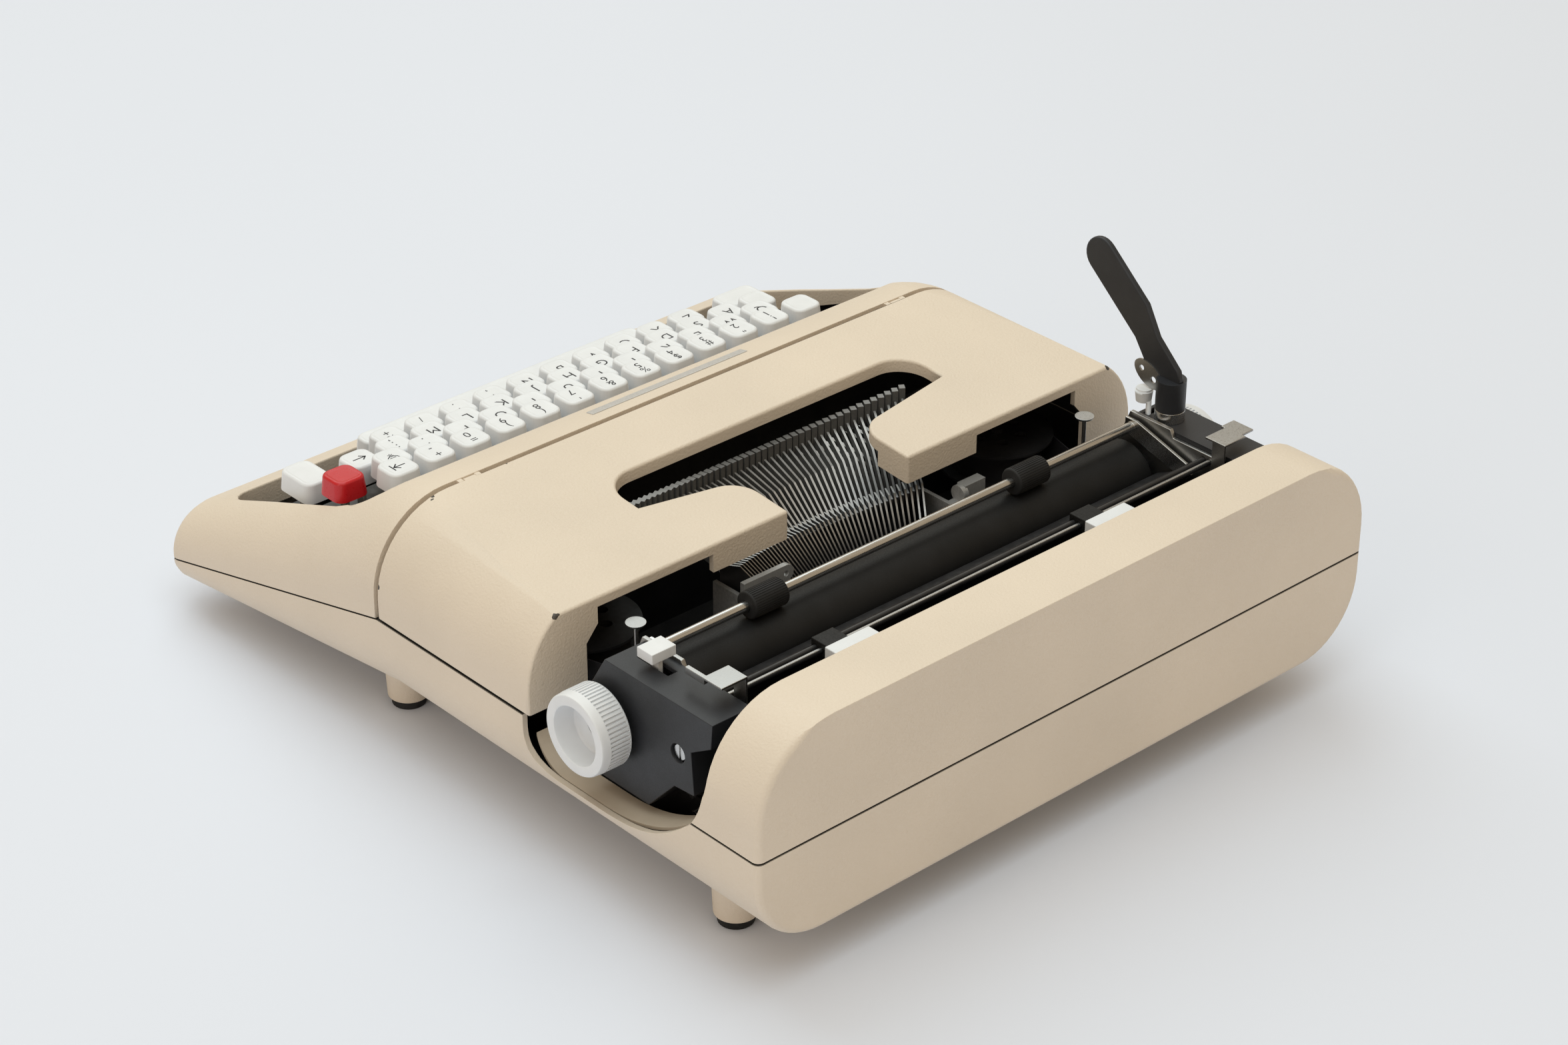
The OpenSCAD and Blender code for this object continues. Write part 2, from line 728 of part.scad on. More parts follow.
// Right half of one face of the ribbon, from the roll round the post to the fork
function ribbon_face(t) = concat(
  [[spool_x + (ribbon_roll_r + t) * cos(ribbon_a), spool_y + (ribbon_roll_r + t) * sin(ribbon_a)]],
  arc(post_x, post_y, ribbon_post_r + t, ribbon_a, 90, 6),
  [[fork_half + 5, ribbon_line_y + t]]
);
function mirrored(line) = [for (i = [len(line) - 1 : -1 : 0]) [-line[i].x, line[i].y]];
function turned_back(line) = [for (i = [len(line) - 1 : -1 : 0]) line[i]];

module ink_ribbon() color([0.05, 0.05, 0.06]) works() {
  inner = concat(ribbon_face(0), mirrored(ribbon_face(0)));
  outer = concat(ribbon_face(ribbon_t), mirrored(ribbon_face(ribbon_t)));
  along_z(ribbon_low, ribbon_high) polygon(concat(inner, turned_back(outer)));
}

fork_y = ribbon_line_y - 1.8;
fork_half = 9;
module ribbon_vibrator() color("silver") works() {
  difference() {
    block([-fork_half, fork_y, -30], [fork_half, fork_y + 1, 8]);
    block([-4, fork_y - 1, -2], [4, fork_y + 2, 9]);
  }
  both_sides() block([fork_half - 2, fork_y, 7], [fork_half, ribbon_line_y + 1.2, 8]);
}

// Type segment, typebars and their steel side plates

bars = 45;
slug_half = 76;
pivot_half = 52;
live_bar = (bars - 1) / 2;
basket_floor = -24;
basket_side = 59;
basket_plate_t = 2;
basket_top = 8;
basket_rear_y = -124;
basket_lug_r = 4;
slug_y = -191;
slug_z = 27;
slug_curve_y = 9;
slug_curve_z = 7;
pivot_y = -158.5;
pivot_z = 5;
pivot_curve_y = 12;
pivot_curve_z = 6;
// Slug and pivot of bar i, from left to right
function bar_t_of(i) = 2 * i / (bars - 1) - 1;
function slug_at(t) = [slug_half * t, slug_y + slug_curve_y * t * t, slug_z + slug_curve_z * t * t];
function pivot_at(t) = [pivot_half * t, pivot_y + pivot_curve_y * t * t, pivot_z + pivot_curve_z * t * t];

// Moves to a bar's pivot, with X along the bar towards its slug
module at_bar(t) {
  s = slug_at(t);
  p = pivot_at(t);
  translate(p) rotate(atan2(s.y - p.y, s.x - p.x)) children();
}

module typebar(t) {
  s = slug_at(t);
  p = pivot_at(t);
  reach = norm([s.x - p.x, s.y - p.y]);
  rise = s.z - p.z;
  at_bar(t) {
    translate([0, bar_t / 2, 0]) rotate([90, 0, 0]) linear_extrude(bar_t) polygon([
      [-4, -3], [2, -3], [reach * 0.5, rise * 0.62 - 2], [reach - 3, rise - 5],
      [reach - 1, rise - 5], [reach - 1, rise - 1], [reach * 0.5 - 1, rise * 0.62 + 2], [0, 2.5], [-4, 2.5]
    ]);
    translate([reach - 1.2, -slug_w / 2, rise - 5]) cube([3.4, slug_w, 9]);
  }
}

module typebars() color("silver") works() {
  for (i = [0 : bars - 1]) if (i != live_bar) typebar(bar_t_of(i));
}

module live_typebar() color("silver") works() typebar(bar_t_of(live_bar));

fin_t = 0.8;
// Top of the segment's body, under the tails of the swinging bars
segment_top = -1;
module type_segment() color([0.12, 0.12, 0.13]) works() {
  ts = [for (i = [0 : 24]) i / 12 - 1];
  edge = 1.06;
  intersection() {
    along_z(basket_floor, 20) polygon(concat(
      [for (t = ts) let (p = pivot_at(t * edge)) [p.x, p.y - 6]],
      [for (i = [len(ts) - 1 : -1 : 0]) [pivot_half * ts[i] * edge, basket_rear_y - 10]]
    ));
    along_x(-basket_side, basket_side) polygon([
      [slug_y, basket_floor], [basket_rear_y, basket_floor], [basket_rear_y, basket_floor + 8],
      [basket_rear_y - 15, basket_floor + 8], [basket_rear_y - 30, segment_top], [slug_y, segment_top]
    ]);
  }
  for (i = [0 : bars]) {
    t = bar_t_of(i - 0.5);
    drop = basket_floor + 2 - pivot_at(t).z;
    at_bar(t) translate([0, fin_t / 2, 0]) rotate([90, 0, 0]) linear_extrude(fin_t) polygon([
      [5.5, drop], [5.5, 2], [3, 4.5], [-3, 4.5], [-16, -8.5], [-16, drop]
    ]);
  }
}

// Right: a flat bar with a round pierced end. Left: a block with a round boss
lug_x = 36;
lug_y = -135;
lug_z = 11;
lug_t = 2.5;
lug_pin_r = 1.3;
boss_x = 62;
boss_len = 14;
boss_d = 5;
module basket_plates() color("silver") works() {
  both_sides() block([basket_side - basket_plate_t, basket_rear_y - 28, basket_floor],
    [basket_side, basket_rear_y - basket_lug_r, basket_top]);
  difference() {
    union() {
      block([lug_x, lug_y, lug_z - basket_lug_r], [basket_side, lug_y + lug_t, lug_z + basket_lug_r]);
      translate([lug_x, lug_y + lug_t, lug_z]) rotate([90, 0, 0])
        cylinder(h = lug_t, r = basket_lug_r, $fn = round_steps);
    }
    translate([lug_x, lug_y + lug_t + 1, lug_z]) rotate([90, 0, 0])
      cylinder(h = lug_t + 2, r = lug_pin_r, $fn = round_steps);
  }
  block([-boss_x - boss_len, lug_y, basket_top - basket_plate_t],
    [-basket_side + basket_plate_t, lug_y + boss_d, basket_top]);
  block([-boss_x - boss_len, lug_y, basket_top - 1], [-boss_x - 2, lug_y + boss_d, lug_z + basket_lug_r]);
  bar_x(-boss_x - 3, -boss_x, lug_y + boss_d / 2, lug_z, basket_lug_r);
}

// Keys

row_1_y = -275;
row_1_top = 36;
row_counts = [12, 12, 11, 10];
key_pitch = keys_w / keys_across;
key_side = key_pitch - key_gap;
// Place of the first key, and steps to the right of each row, in key pitches
row_start = -5.376;
row_shift = [0, 0.5, 0.75, 1.25];
live_key_place = 5;
stem_w = 2;
stem_d = 4;
lever_low = -23;
lever_high = -18;
lever_rear = cross_bar_y - 2.5;
cap_r = 4;

function key_x(r, i) = (row_start + row_shift[r - 1] + i) * key_pitch;
function row_y(r) = row_1_y - (r - 1) * row_step;
function row_top(r) = row_1_top - (r - 1) * row_drop;

// Rounded square cap
function cap_outline(w, d, r) = concat(
  arc(w / 2 - r, r - d / 2, r, -90, 0, 6), arc(w / 2 - r, d / 2 - r, r, 0, 90, 6),
  arc(r - w / 2, d / 2 - r, r, 90, 180, 6), arc(r - w / 2, r - d / 2, r, 180, 270, 6)
);

// One key: cap, stem and lever; the cap may reach past the stem by shift
module key(x, y, top, w = key_side, d = key_side, shift = 0) {
  translate([x, y + shift, 0]) along_z(top - key_h, top) polygon(cap_outline(w, d, cap_r));
  block([x - stem_w / 2, y - stem_d / 2, lever_low], [x + stem_w / 2, y + stem_d / 2, top - key_h + 0.5]);
  block([x - stem_w / 2, y - stem_d / 2, lever_low], [x + stem_w / 2, lever_rear, lever_high]);
}

module key_row(r) {
  for (i = [0 : row_counts[r - 1] - 1])
    if (!(r == 3 && i == live_key_place)) key(key_x(r, i), row_y(r), row_top(r));
}

module keys_row_1() color("white") works() key_row(1);

module keys_row_2() color("white") works() key_row(2);

module keys_row_3() color("white") works() key_row(3);

module keys_row_4() color("white") works() key_row(4);

module live_key() color("white") works() key(key_x(3, live_key_place), row_y(3), row_top(3));

module tab_key() color("white") works() key(key_x(1, 12), row_1_y, row_1_top);

red_x = keys_w / 2 - 10;
module red_key() color([0.85, 0.1, 0.12]) works() key(red_x, row_y(2), row_top(2) + 1);

module shift_lock_key() color("white") works()
  key(key_x(3, -1), row_y(3), row_top(3));

module backspace_key() color("white") works()
  key(key_x(3, 11), row_y(3), row_top(3));

shift_left_x = -5.828 * key_pitch;
shift_left_w = 1.32 * key_pitch;
shift_right_x = keys_w / 2 - 13;
shift_right_d = 23;
module shift_keys() color("white") works() {
  key(shift_left_x, row_y(4), row_top(4), shift_left_w);
  key(shift_right_x, row_y(4), row_top(4), key_side, shift_right_d, (shift_right_d - key_side) / 2);
}

bar_y = -345.5;
bar_top = 8;
bar_len = 0.53 * keys_w;
bar_mid = 0.8 * key_pitch;
module space_bar() color("white") works() {
  translate([bar_mid, bar_y, 0]) along_z(bar_top - key_h, bar_top) polygon(cap_outline(bar_len, 13, cap_r));
  for (x = [key_x(4, 2.125), key_x(4, 8.125)]) {
    block([x - stem_w / 2, bar_y - stem_d / 2, lever_low], [x + stem_w / 2, bar_y + stem_d / 2, bar_top - key_h + 0.5]);
    block([x - stem_w / 2, bar_y - stem_d / 2, lever_low], [x + stem_w / 2, lever_rear, lever_high]);
  }
}

// Strips between the rows that guide the stems, on two side plates
guide_half = keys_w / 2 + skirt_t + 0.5;
guide_gap = 0.5;
guide_z = -16;
guide_t = 1.5;
guide_ahead = 8;
guide_behind = 9;
module key_guide() color([0.2, 0.2, 0.2]) works() {
  rear_y = row_1_y + guide_behind;
  front_y = bar_y - guide_ahead;
  stops = concat([rear_y], [for (r = [1 : 4]) row_y(r)], [bar_y, front_y]);
  for (i = [0 : len(stops) - 2]) {
    y0 = stops[i + 1] + (i < len(stops) - 2 ? stem_d / 2 + guide_gap : 0);
    y1 = stops[i] - (i > 0 ? stem_d / 2 + guide_gap : 0);
    block([-guide_half, y0, guide_z], [guide_half, y1, guide_z + guide_t]);
  }
  both_sides() intersection() {
    block([guide_half, front_y, -front_belly], [guide_half + guide_t, rear_y, guide_z + guide_t]);
    base_skin(-wall, wall - casing_d, wall);
  }
}

// Carriage: bed, end plates and end caps

runner_low = rail_z + rail_r + free_gap;
runner_len = 20;
runner_w = 5;
bail_pivot_y = -68;
bail_pivot_z = 22;
roller_r = 4.5;
roller_axle_r = 1.5;
roller_off = platen_r + roller_r + free_gap;
front_roller = [platen_y + roller_off * cos(250), platen_z + roller_off * sin(250)];
rear_roller = [platen_y + roller_off * cos(302), platen_z + roller_off * sin(302)];
margin_rods = [[-60.5, 30], [-57.3, 30]];
margin_rod_r = 1.2;

module carriage_frame() color([0.1, 0.1, 0.11]) works() {
  block([-plate_in, -110, bed_z], [plate_in, -64, bed_z + 1.5]);
  for (x = [-30, 0, 30], y = [front_rail_y, rear_rail_y])
    block([x - runner_len / 2, y - runner_w / 2, runner_low], [x + runner_len / 2, y + runner_w / 2, bed_z]);
  both_sides() difference() {
    along_x(plate_in, plate_in + plate_t) polygon([
      [-110, bed_z], [-76, bed_z], [-62, -3], [-54, -2], [-54, 33], [-78, 33], [-80, plate_top],
      [-103, plate_top], [-110, 20]
    ]);
    bar_x(0, half_w, platen_y, platen_z, shaft_r + fit);
    bar_x(0, half_w, front_roller.x, front_roller.y, roller_axle_r + fit);
    bar_x(0, half_w, rear_roller.x, rear_roller.y, roller_axle_r + fit);
    bar_x(0, half_w, bail_pivot_y, bail_pivot_z, bail_r + fit);
    for (rod = margin_rods) bar_x(0, half_w, rod.x, rod.y, margin_rod_r + fit);
  }
}

// Side view of an end cap, inset by t
function cap_side(t) = [
  [-102 + t * 0.6, cap_top - t], [-39.5 - t, cap_top - t], [-40.5 - t, 24 + t], [-52 - t, 17 + t],
  [-50.5 - t, -2 + t], [-62 - t * 0.6, -3 + t], [-77.5 - t * 0.4, -19.5 + t], [-106 + t * 0.6, -19.5 + t],
  [-111 + t, -12 + t * 0.4], [-111 + t, 20 - t * 0.4]
];

screw_y = -59.7;
screw_z = 13;
screw_r = 4;
tab_slot = [[142, -95], [146.5, -77]];

module end_cap() {
  difference() {
    along_x(cap_in, cap_out) polygon(cap_side(0));
    along_x(cap_in - 1, cap_out - cap_wall) polygon(cap_side(cap_wall));
    bar_x(cap_in, cap_out + 1, platen_y, platen_z, shaft_r + 2);
    bar_x(cap_in, cap_out + 1, screw_y, screw_z, screw_r);
    children();
  }
}

module end_cap_right() color([0.16, 0.17, 0.18]) works()
  end_cap() block([tab_slot[0].x, tab_slot[0].y, 20], [tab_slot[1].x, tab_slot[1].y, cap_top + 1]);

module end_cap_left() color([0.16, 0.17, 0.18]) works() mirror([1, 0, 0])
  end_cap() {
    bar_z(-lever_x, lever_y, 20, cap_top + 1, lever_pin_r);
    block([-selector_x - selector_stem_r - free_gap, selector_y - selector_stem_r - free_gap, 20],
      [selector_travel - selector_x + selector_stem_r + free_gap, selector_y + selector_stem_r + free_gap, cap_top + 1]);
  }

// Slotted screws through both caps into the end plates
module cap_screws() color("silver") works() {
  both_sides() difference() {
    union() {
      bar_x(cap_out - 3.4, cap_out - 1.2, screw_y, screw_z, screw_r - 0.7);
      bar_x(cap_in, cap_out - 3, screw_y, screw_z, 1.5);
    }
    block([cap_out - 2, screw_y - 0.5, screw_z - 5], [cap_out, screw_y + 0.5, screw_z + 5]);
  }
}

// Paper table behind the platen
module paper_table() color([0.08, 0.08, 0.09]) works() {
  along_x(-platen_half - 1, platen_half + 1) polygon(concat(
    arc(platen_y, platen_z, platen_r + 2, -28, 22, 8),
    [[-70, 22], [-64.5, 28.5], [-63.4, 27.6], [-69, 20.6]],
    arc(platen_y, platen_z, platen_r + 3.2, 20, -28, 8)
  ));
  both_sides() block([platen_half + 0.5, -84.5, -2], [plate_in, -80.2, 0]);
}

// Margin rail and its two stops
module margin_rail() color("silver") works() {
  for (rod = margin_rods) bar_x(-plate_in - plate_t, plate_in + plate_t, rod.x, rod.y, margin_rod_r);
}

stop_w = 23;
stop_right_x = 80.5;
stop_left_x = -62.5;
module margin_stop(x) {
  difference() {
    union() {
      block([x - stop_w / 2, -49, 32.5], [x + stop_w / 2, -37, 38]);
      block([x - stop_w / 4, -63, 27.5], [x + stop_w / 4, -48.5, 33.5]);
    }
    for (rod = margin_rods) bar_x(x - stop_w, x + stop_w, rod.x, rod.y, margin_rod_r + fit);
  }
}

module margin_stop_left() color("white") works() margin_stop(stop_left_x);

module margin_stop_right() color("white") works() margin_stop(stop_right_x);

// Feed rollers under the platen
module feed_roller(axis) {
  bar_x(-plate_in - plate_t, plate_in + plate_t, axis.x, axis.y, roller_axle_r);
  for (x = [-100, -34, 34, 100]) bar_x(x - 20, x + 20, axis.x, axis.y, roller_r);
}

module front_feed_roller() color([0.06, 0.06, 0.06]) works() feed_roller(front_roller);

module rear_feed_roller() color([0.06, 0.06, 0.06]) works() feed_roller(rear_roller);

// Paper bail over the platen, and its two rollers
bail_y = platen_y;
bail_z = platen_z + platen_r + bail_roller_r + free_gap;
module paper_bail() color("silver") works() {
  bar_x(-arm_in - bail_arm_t, arm_in + bail_arm_t, bail_y, bail_z, bail_r);
  both_sides() {
    along_x(arm_in, arm_in + bail_arm_t) polygon([
      [bail_y - 3.5, bail_z - 3.5], [bail_pivot_y, bail_pivot_z - 4], [bail_pivot_y + 4, bail_pivot_z],
      [bail_pivot_y + 1, bail_pivot_z + 4], [bail_y + 3, bail_z + 3.5], [bail_y - 3.5, bail_z + 3.5]
    ]);
    bar_x(arm_in, plate_in + plate_t, bail_pivot_y, bail_pivot_z, bail_r);
  }
}

bail_right_x = 78;
bail_left_x = -69;
module bail_roller(x) {
  difference() {
    bar_x(x - bail_roller_len / 2, x + bail_roller_len / 2, bail_y, bail_z, bail_roller_r);
    bar_x(x - bail_roller_len, x + bail_roller_len, bail_y, bail_z, bail_r + fit);
  }
}

module bail_roller_left() color([0.06, 0.06, 0.06]) works() bail_roller(bail_left_x);

module bail_roller_right() color([0.06, 0.06, 0.06]) works() bail_roller(bail_right_x);

// Platen with its shaft, knobs and line ratchet
module platen() color([0.09, 0.09, 0.1]) works() {
  difference() {
    bar_x(-platen_half, platen_half, platen_y, platen_z, platen_r);
    bar_x(-platen_half - 1, platen_half + 1, platen_y, platen_z, shaft_r);
  }
}

module platen_shaft() color("silver") works() {
  bar_x(-knob_in - 4, knob_in + 4, platen_y, platen_z, shaft_r);
}

module knob() {
  difference() {
    bar_x(knob_in, knob_out, platen_y, platen_z, knob_r);
    bar_x(knob_in + 5, knob_out + 1, platen_y, platen_z, knob_bore_r);
    bar_x(knob_in - 1, knob_out, platen_y, platen_z, shaft_r);
  }
}

module knob_left() color("white") works() mirror([1, 0, 0]) knob();

module knob_right() color("white") works() knob();

ratchet_teeth = 24;
module ratchet_wheel() color("silver") works() {
  difference() {
    along_x(-cap_in - 7, -cap_in - 4) translate([platen_y, platen_z])
      polygon([for (i = [0 : ratchet_teeth - 1], k = [0, 1])
        let (r = k == 0 ? 9 : 7.6, a = (i + k * 0.8) * 360 / ratchet_teeth) [r * cos(a), r * sin(a)]]);
    bar_x(-half_w, half_w, platen_y, platen_z, shaft_r);
  }
}

// Return lever on its post, over the left cap
lever_x = -145;
lever_y = -89;
lever_pin_r = 3;
lever_hub_r = 6.5;
lever_hub_low = cap_top + 5;
lever_hub_high = cap_top + 19;
lever_bore_top = cap_top + 14;
module lever_post() color("silver") works() {
  bar_z(lever_x, lever_y, cap_top - 14, lever_bore_top - free_gap, lever_pin_r);
  difference() {
    bar_z(lever_x, lever_y, cap_top, lever_hub_low - 0.05, lever_hub_r);
    bar_z(lever_x, lever_y, cap_top - 1, lever_hub_low, lever_pin_r - 0.01);
  }
}

lever_w = 17;
lever_t = 3;
lever_tilt = 49;
lever_offset = 4;
module return_lever() color([0.16, 0.17, 0.18]) works() {
  difference() {
    union() {
      bar_z(lever_x, lever_y, lever_hub_low, lever_hub_high, lever_hub_r);
      along_x(lever_x - lever_t / 2, lever_x + lever_t / 2) translate([lever_y, lever_hub_high])
        rotate(lever_tilt) polygon(concat(
          [[-6.5, 0], [-4, -4], [4, -4], [6.8, 0], [7.4, 17]],
          [[lever_offset + lever_w / 2, 31]],
          arc(lever_offset, lever_len - lever_w / 2, lever_w / 2, 0, 180, 14),
          [[lever_offset - lever_w / 2, 24], [-7.2, 14]]
        ));
    }
    bar_z(lever_x, lever_y, cap_top, lever_bore_top, lever_pin_r + fit);
  }
}

// Line spacing button in a slot of the left cap
selector_x = -142;
selector_y = -98.5;
button_y = -101.5;
selector_travel = 5;
selector_stem_r = 1.2;
selector_r = 4;
module line_selector() color("white") works() {
  foot_top = cap_top - cap_wall - free_gap;
  bar_z(selector_x, selector_y, foot_top - 2, cap_top + 5.5, selector_stem_r);
  block([selector_x - 2, selector_y - selector_stem_r, foot_top - 2], [selector_x + 2, selector_y + 3, foot_top]);
  translate([selector_x, button_y, cap_top + 5])
    cylinder(h = 5, r1 = selector_r - 0.6, r2 = selector_r, $fn = round_steps);
  bar_z(selector_x, button_y, cap_top + 9.9, cap_top + 11, selector_r - 0.5);
}

// White tab on the right cap that frees the line ratchet
tab_pivot_y = -86;
tab_pivot_z = -6;
module line_lock_tab() color("white") works() {
  block([138, -91, cap_top + 3.5], [150, -82, cap_top + 8]);
  block([143.2, -88, tab_pivot_z - 3], [145.3, -84, cap_top + 4]);
  bar_x(cap_in, 145.3, tab_pivot_y, tab_pivot_z, 1.5);
}

// Bent steel tabs at both ends of the carriage
tab_z = 42;
tab_leg_x = arm_in + 0.3;
tab_leg_y = [-54, -47];
tab_t = 1;
module bent_tab() {
  block([tab_leg_x, -58, tab_z], [tab_leg_x + 13, -47, tab_z + tab_t]);
  block([tab_leg_x, tab_leg_y[0], 12], [tab_leg_x + tab_t, tab_leg_y[1], tab_z + 0.1]);
  bar_x(tab_leg_x, plate_in - 0.3, -55.5, 16, 2);
  block([tab_leg_x, -56, 14.5], [tab_leg_x + tab_t, tab_leg_y[0] + 1, 17.5]);
}

module paper_release_tab() color("silver") works() {
  bent_tab();
  block([tab_leg_x + 11, -68, tab_z - 2], [tab_leg_x + 13, -57, tab_z + tab_t]);
}

module carriage_release_tab() color("silver") works() mirror([1, 0, 0]) {
  bent_tab();
  block([tab_leg_x + 12, -60, tab_z], [tab_leg_x + 20, -49, tab_z + tab_t]);
}

base_shell();
front_cover();
rear_cover();
top_cover();
cover_hinges();
feet();
foot_pads();
side_troughs();
main_frame();
carriage_rails();
key_guide();
bell();
bell_hammer();
mainspring_drum();
escapement_wheel();
ribbon_spool_left();
ribbon_spool_right();
ink_ribbon();
ribbon_posts();
ribbon_vibrator();
type_segment();
typebars();
basket_plates();
live_typebar();
keys_row_1();
keys_row_2();
keys_row_3();
keys_row_4();
live_key();
space_bar();
shift_keys();
line_selector();
shift_lock_key();
backspace_key();
tab_key();
red_key();
carriage_frame();
escapement_rack();
end_cap_left();
end_cap_right();
cap_screws();
paper_table();
margin_rail();
margin_stop_left();
margin_stop_right();
front_feed_roller();
rear_feed_roller();
paper_bail();
bail_roller_left();
bail_roller_right();
platen();
platen_shaft();
knob_left();
knob_right();
ratchet_wheel();
lever_post();
return_lever();
line_lock_tab();
paper_release_tab();
carriage_release_tab();
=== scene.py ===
"""Flat portable manual typewriter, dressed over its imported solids."""

import json
import math

import bmesh
import bpy
from bpy.props import FloatProperty, FloatVectorProperty, IntProperty, PointerProperty
from mathutils import Matrix, Vector
from mathutils.bvhtree import BVHTree

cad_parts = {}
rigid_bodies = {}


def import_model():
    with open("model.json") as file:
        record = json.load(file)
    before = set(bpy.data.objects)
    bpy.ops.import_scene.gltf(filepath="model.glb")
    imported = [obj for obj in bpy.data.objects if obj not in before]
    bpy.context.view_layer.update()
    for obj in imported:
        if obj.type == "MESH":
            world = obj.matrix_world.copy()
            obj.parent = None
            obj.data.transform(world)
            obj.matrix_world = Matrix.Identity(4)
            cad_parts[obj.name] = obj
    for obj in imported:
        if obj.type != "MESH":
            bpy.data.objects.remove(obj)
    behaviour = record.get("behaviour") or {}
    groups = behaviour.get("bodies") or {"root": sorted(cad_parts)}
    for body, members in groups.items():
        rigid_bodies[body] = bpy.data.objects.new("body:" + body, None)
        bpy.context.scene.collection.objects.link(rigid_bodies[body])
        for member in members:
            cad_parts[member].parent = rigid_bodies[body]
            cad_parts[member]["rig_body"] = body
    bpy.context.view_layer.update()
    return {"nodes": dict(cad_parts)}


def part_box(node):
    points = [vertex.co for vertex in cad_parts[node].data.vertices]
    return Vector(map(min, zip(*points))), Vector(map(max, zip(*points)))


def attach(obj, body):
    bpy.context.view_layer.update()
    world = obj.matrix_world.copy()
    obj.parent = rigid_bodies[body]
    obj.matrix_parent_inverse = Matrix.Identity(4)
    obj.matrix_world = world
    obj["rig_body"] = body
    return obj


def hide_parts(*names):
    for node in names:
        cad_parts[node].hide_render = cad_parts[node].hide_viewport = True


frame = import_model()

bl_info = {
    "name": "Portable typewriter",
    "version": (1, 0, 0),
    "blender": (4, 5, 0),
    "location": "3D View > Sidebar > Typewriter",
    "description": "Dresses the solids of a flat portable typewriter with paint, keys, legends and trim",
    "category": "Object",
}

MM = 0.001
# Rear face and seam height of the casing, which places are measured from
REAR_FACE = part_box("rear_cover")[1][1]
SEAM = 0.065
# Corners this close are one corner, and faces this flat are one face
SAME_PLACE = 2e-6
FLAT_ANGLE = math.radians(0.3)
# Shares of a radius that are tried in turn until the rounding stays inside the solid
ROUNDING_SHARES = (1, 0.6, 0.35, 0.2, 0)


def at(x, y, z):
    """Place given in millimetres from the middle, the rear face and the casing seam."""
    return Vector((x * MM, REAR_FACE + y * MM, SEAM + z * MM))


def middle(node):
    """Centre of a node's box."""
    low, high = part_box(node)
    return (Vector(low) + Vector(high)) / 2


class TypewriterSettings(bpy.types.PropertyGroup):
    """Sizes and colours of the typewriter's finish"""

    paint_colour: FloatVectorProperty(
        name="Casing paint", description="Colour of the wrinkle paint on the casing",
        subtype="COLOR", size=3, min=0, max=1, default=(0.740, 0.645, 0.530))
    key_colour: FloatVectorProperty(
        name="Key caps", description="Colour of the key caps, knobs and margin stops",
        subtype="COLOR", size=3, min=0, max=1, default=(0.785, 0.81, 0.84))
    red_colour: FloatVectorProperty(
        name="Red key", description="Colour of the red key cap",
        subtype="COLOR", size=3, min=0, max=1, default=(0.55, 0.010, 0.016))
    cap_colour: FloatVectorProperty(
        name="End caps", description="Colour of the carriage's end caps and return lever",
        subtype="COLOR", size=3, min=0, max=1, default=(0.026, 0.028, 0.033))
    floor_colour: FloatVectorProperty(
        name="Floor", description="Colour of the studio floor",
        subtype="COLOR", size=3, min=0, max=1, default=(0.755, 0.80, 0.905))
    slot_edge: FloatProperty(
        name="Slot edge", description="Radius of the edges round the type slot",
        default=1.3 * MM, min=0.2 * MM, max=2 * MM, unit="LENGTH", precision=4)
    rear_edge: FloatProperty(
        name="Rear edge", description="Radius round the rear face of the casing",
        default=3.0 * MM, min=0.5 * MM, max=5 * MM, unit="LENGTH", precision=4)
    seam_edge: FloatProperty(
        name="Seam edge", description="Radius of the edges along the casing seams",
        default=0.25 * MM, min=0.1 * MM, max=1 * MM, unit="LENGTH", precision=4)
    key_corner: FloatProperty(
        name="Key corner", description="Radius of the corners of a key cap",
        default=4.6 * MM, min=1 * MM, max=6 * MM, unit="LENGTH", precision=4)
    key_taper: FloatProperty(
        name="Key taper", description="Size of a key cap's top against its foot",
        default=0.88, min=0.6, max=1, subtype="FACTOR")
    key_dish: FloatProperty(
        name="Key dish", description="Depth of the finger dish in a key cap",
        default=0.35 * MM, min=0, max=1.5 * MM, unit="LENGTH", precision=4)
    legend_size: FloatProperty(
        name="Legend size", description="Height of the type used for the key legends",
        default=7.4 * MM, min=2 * MM, max=8 * MM, unit="LENGTH", precision=4)
    knob_ribs: IntProperty(
        name="Knob ribs", description="Number of fine ribs round a platen knob",
        default=60, min=24, max=120)


# Meshes

def settings():
    """The sizes and colours in use."""
    return bpy.context.scene.typewriter


def node_copy(node):
    """Closed copy of a solid, with the triangles of each flat face joined."""
    mesh = bmesh.new()
    mesh.from_mesh(frame["nodes"][node].data)
    bmesh.ops.remove_doubles(mesh, verts=mesh.verts, dist=SAME_PLACE)
    bmesh.ops.dissolve_limit(mesh, angle_limit=FLAT_ANGLE, verts=mesh.verts, edges=mesh.edges)
    return mesh


def sorted_copy(node, paint):
    """Closed copy of a solid with its faces sorted by finish."""
    mesh = node_copy(node)
    for face in mesh.faces:
        face.material_index = paint(face)
    return mesh


def bevel(mesh, edges, radius, steps, clamp=True, coat_number=-1):
    """Rounds edges of a mesh, in a finish of their own if asked."""
    return bmesh.ops.bevel(
        mesh, geom=edges, offset=radius, offset_type="OFFSET", segments=steps, profile=0.5,
        affect="EDGES", clamp_overlap=clamp, material=coat_number)


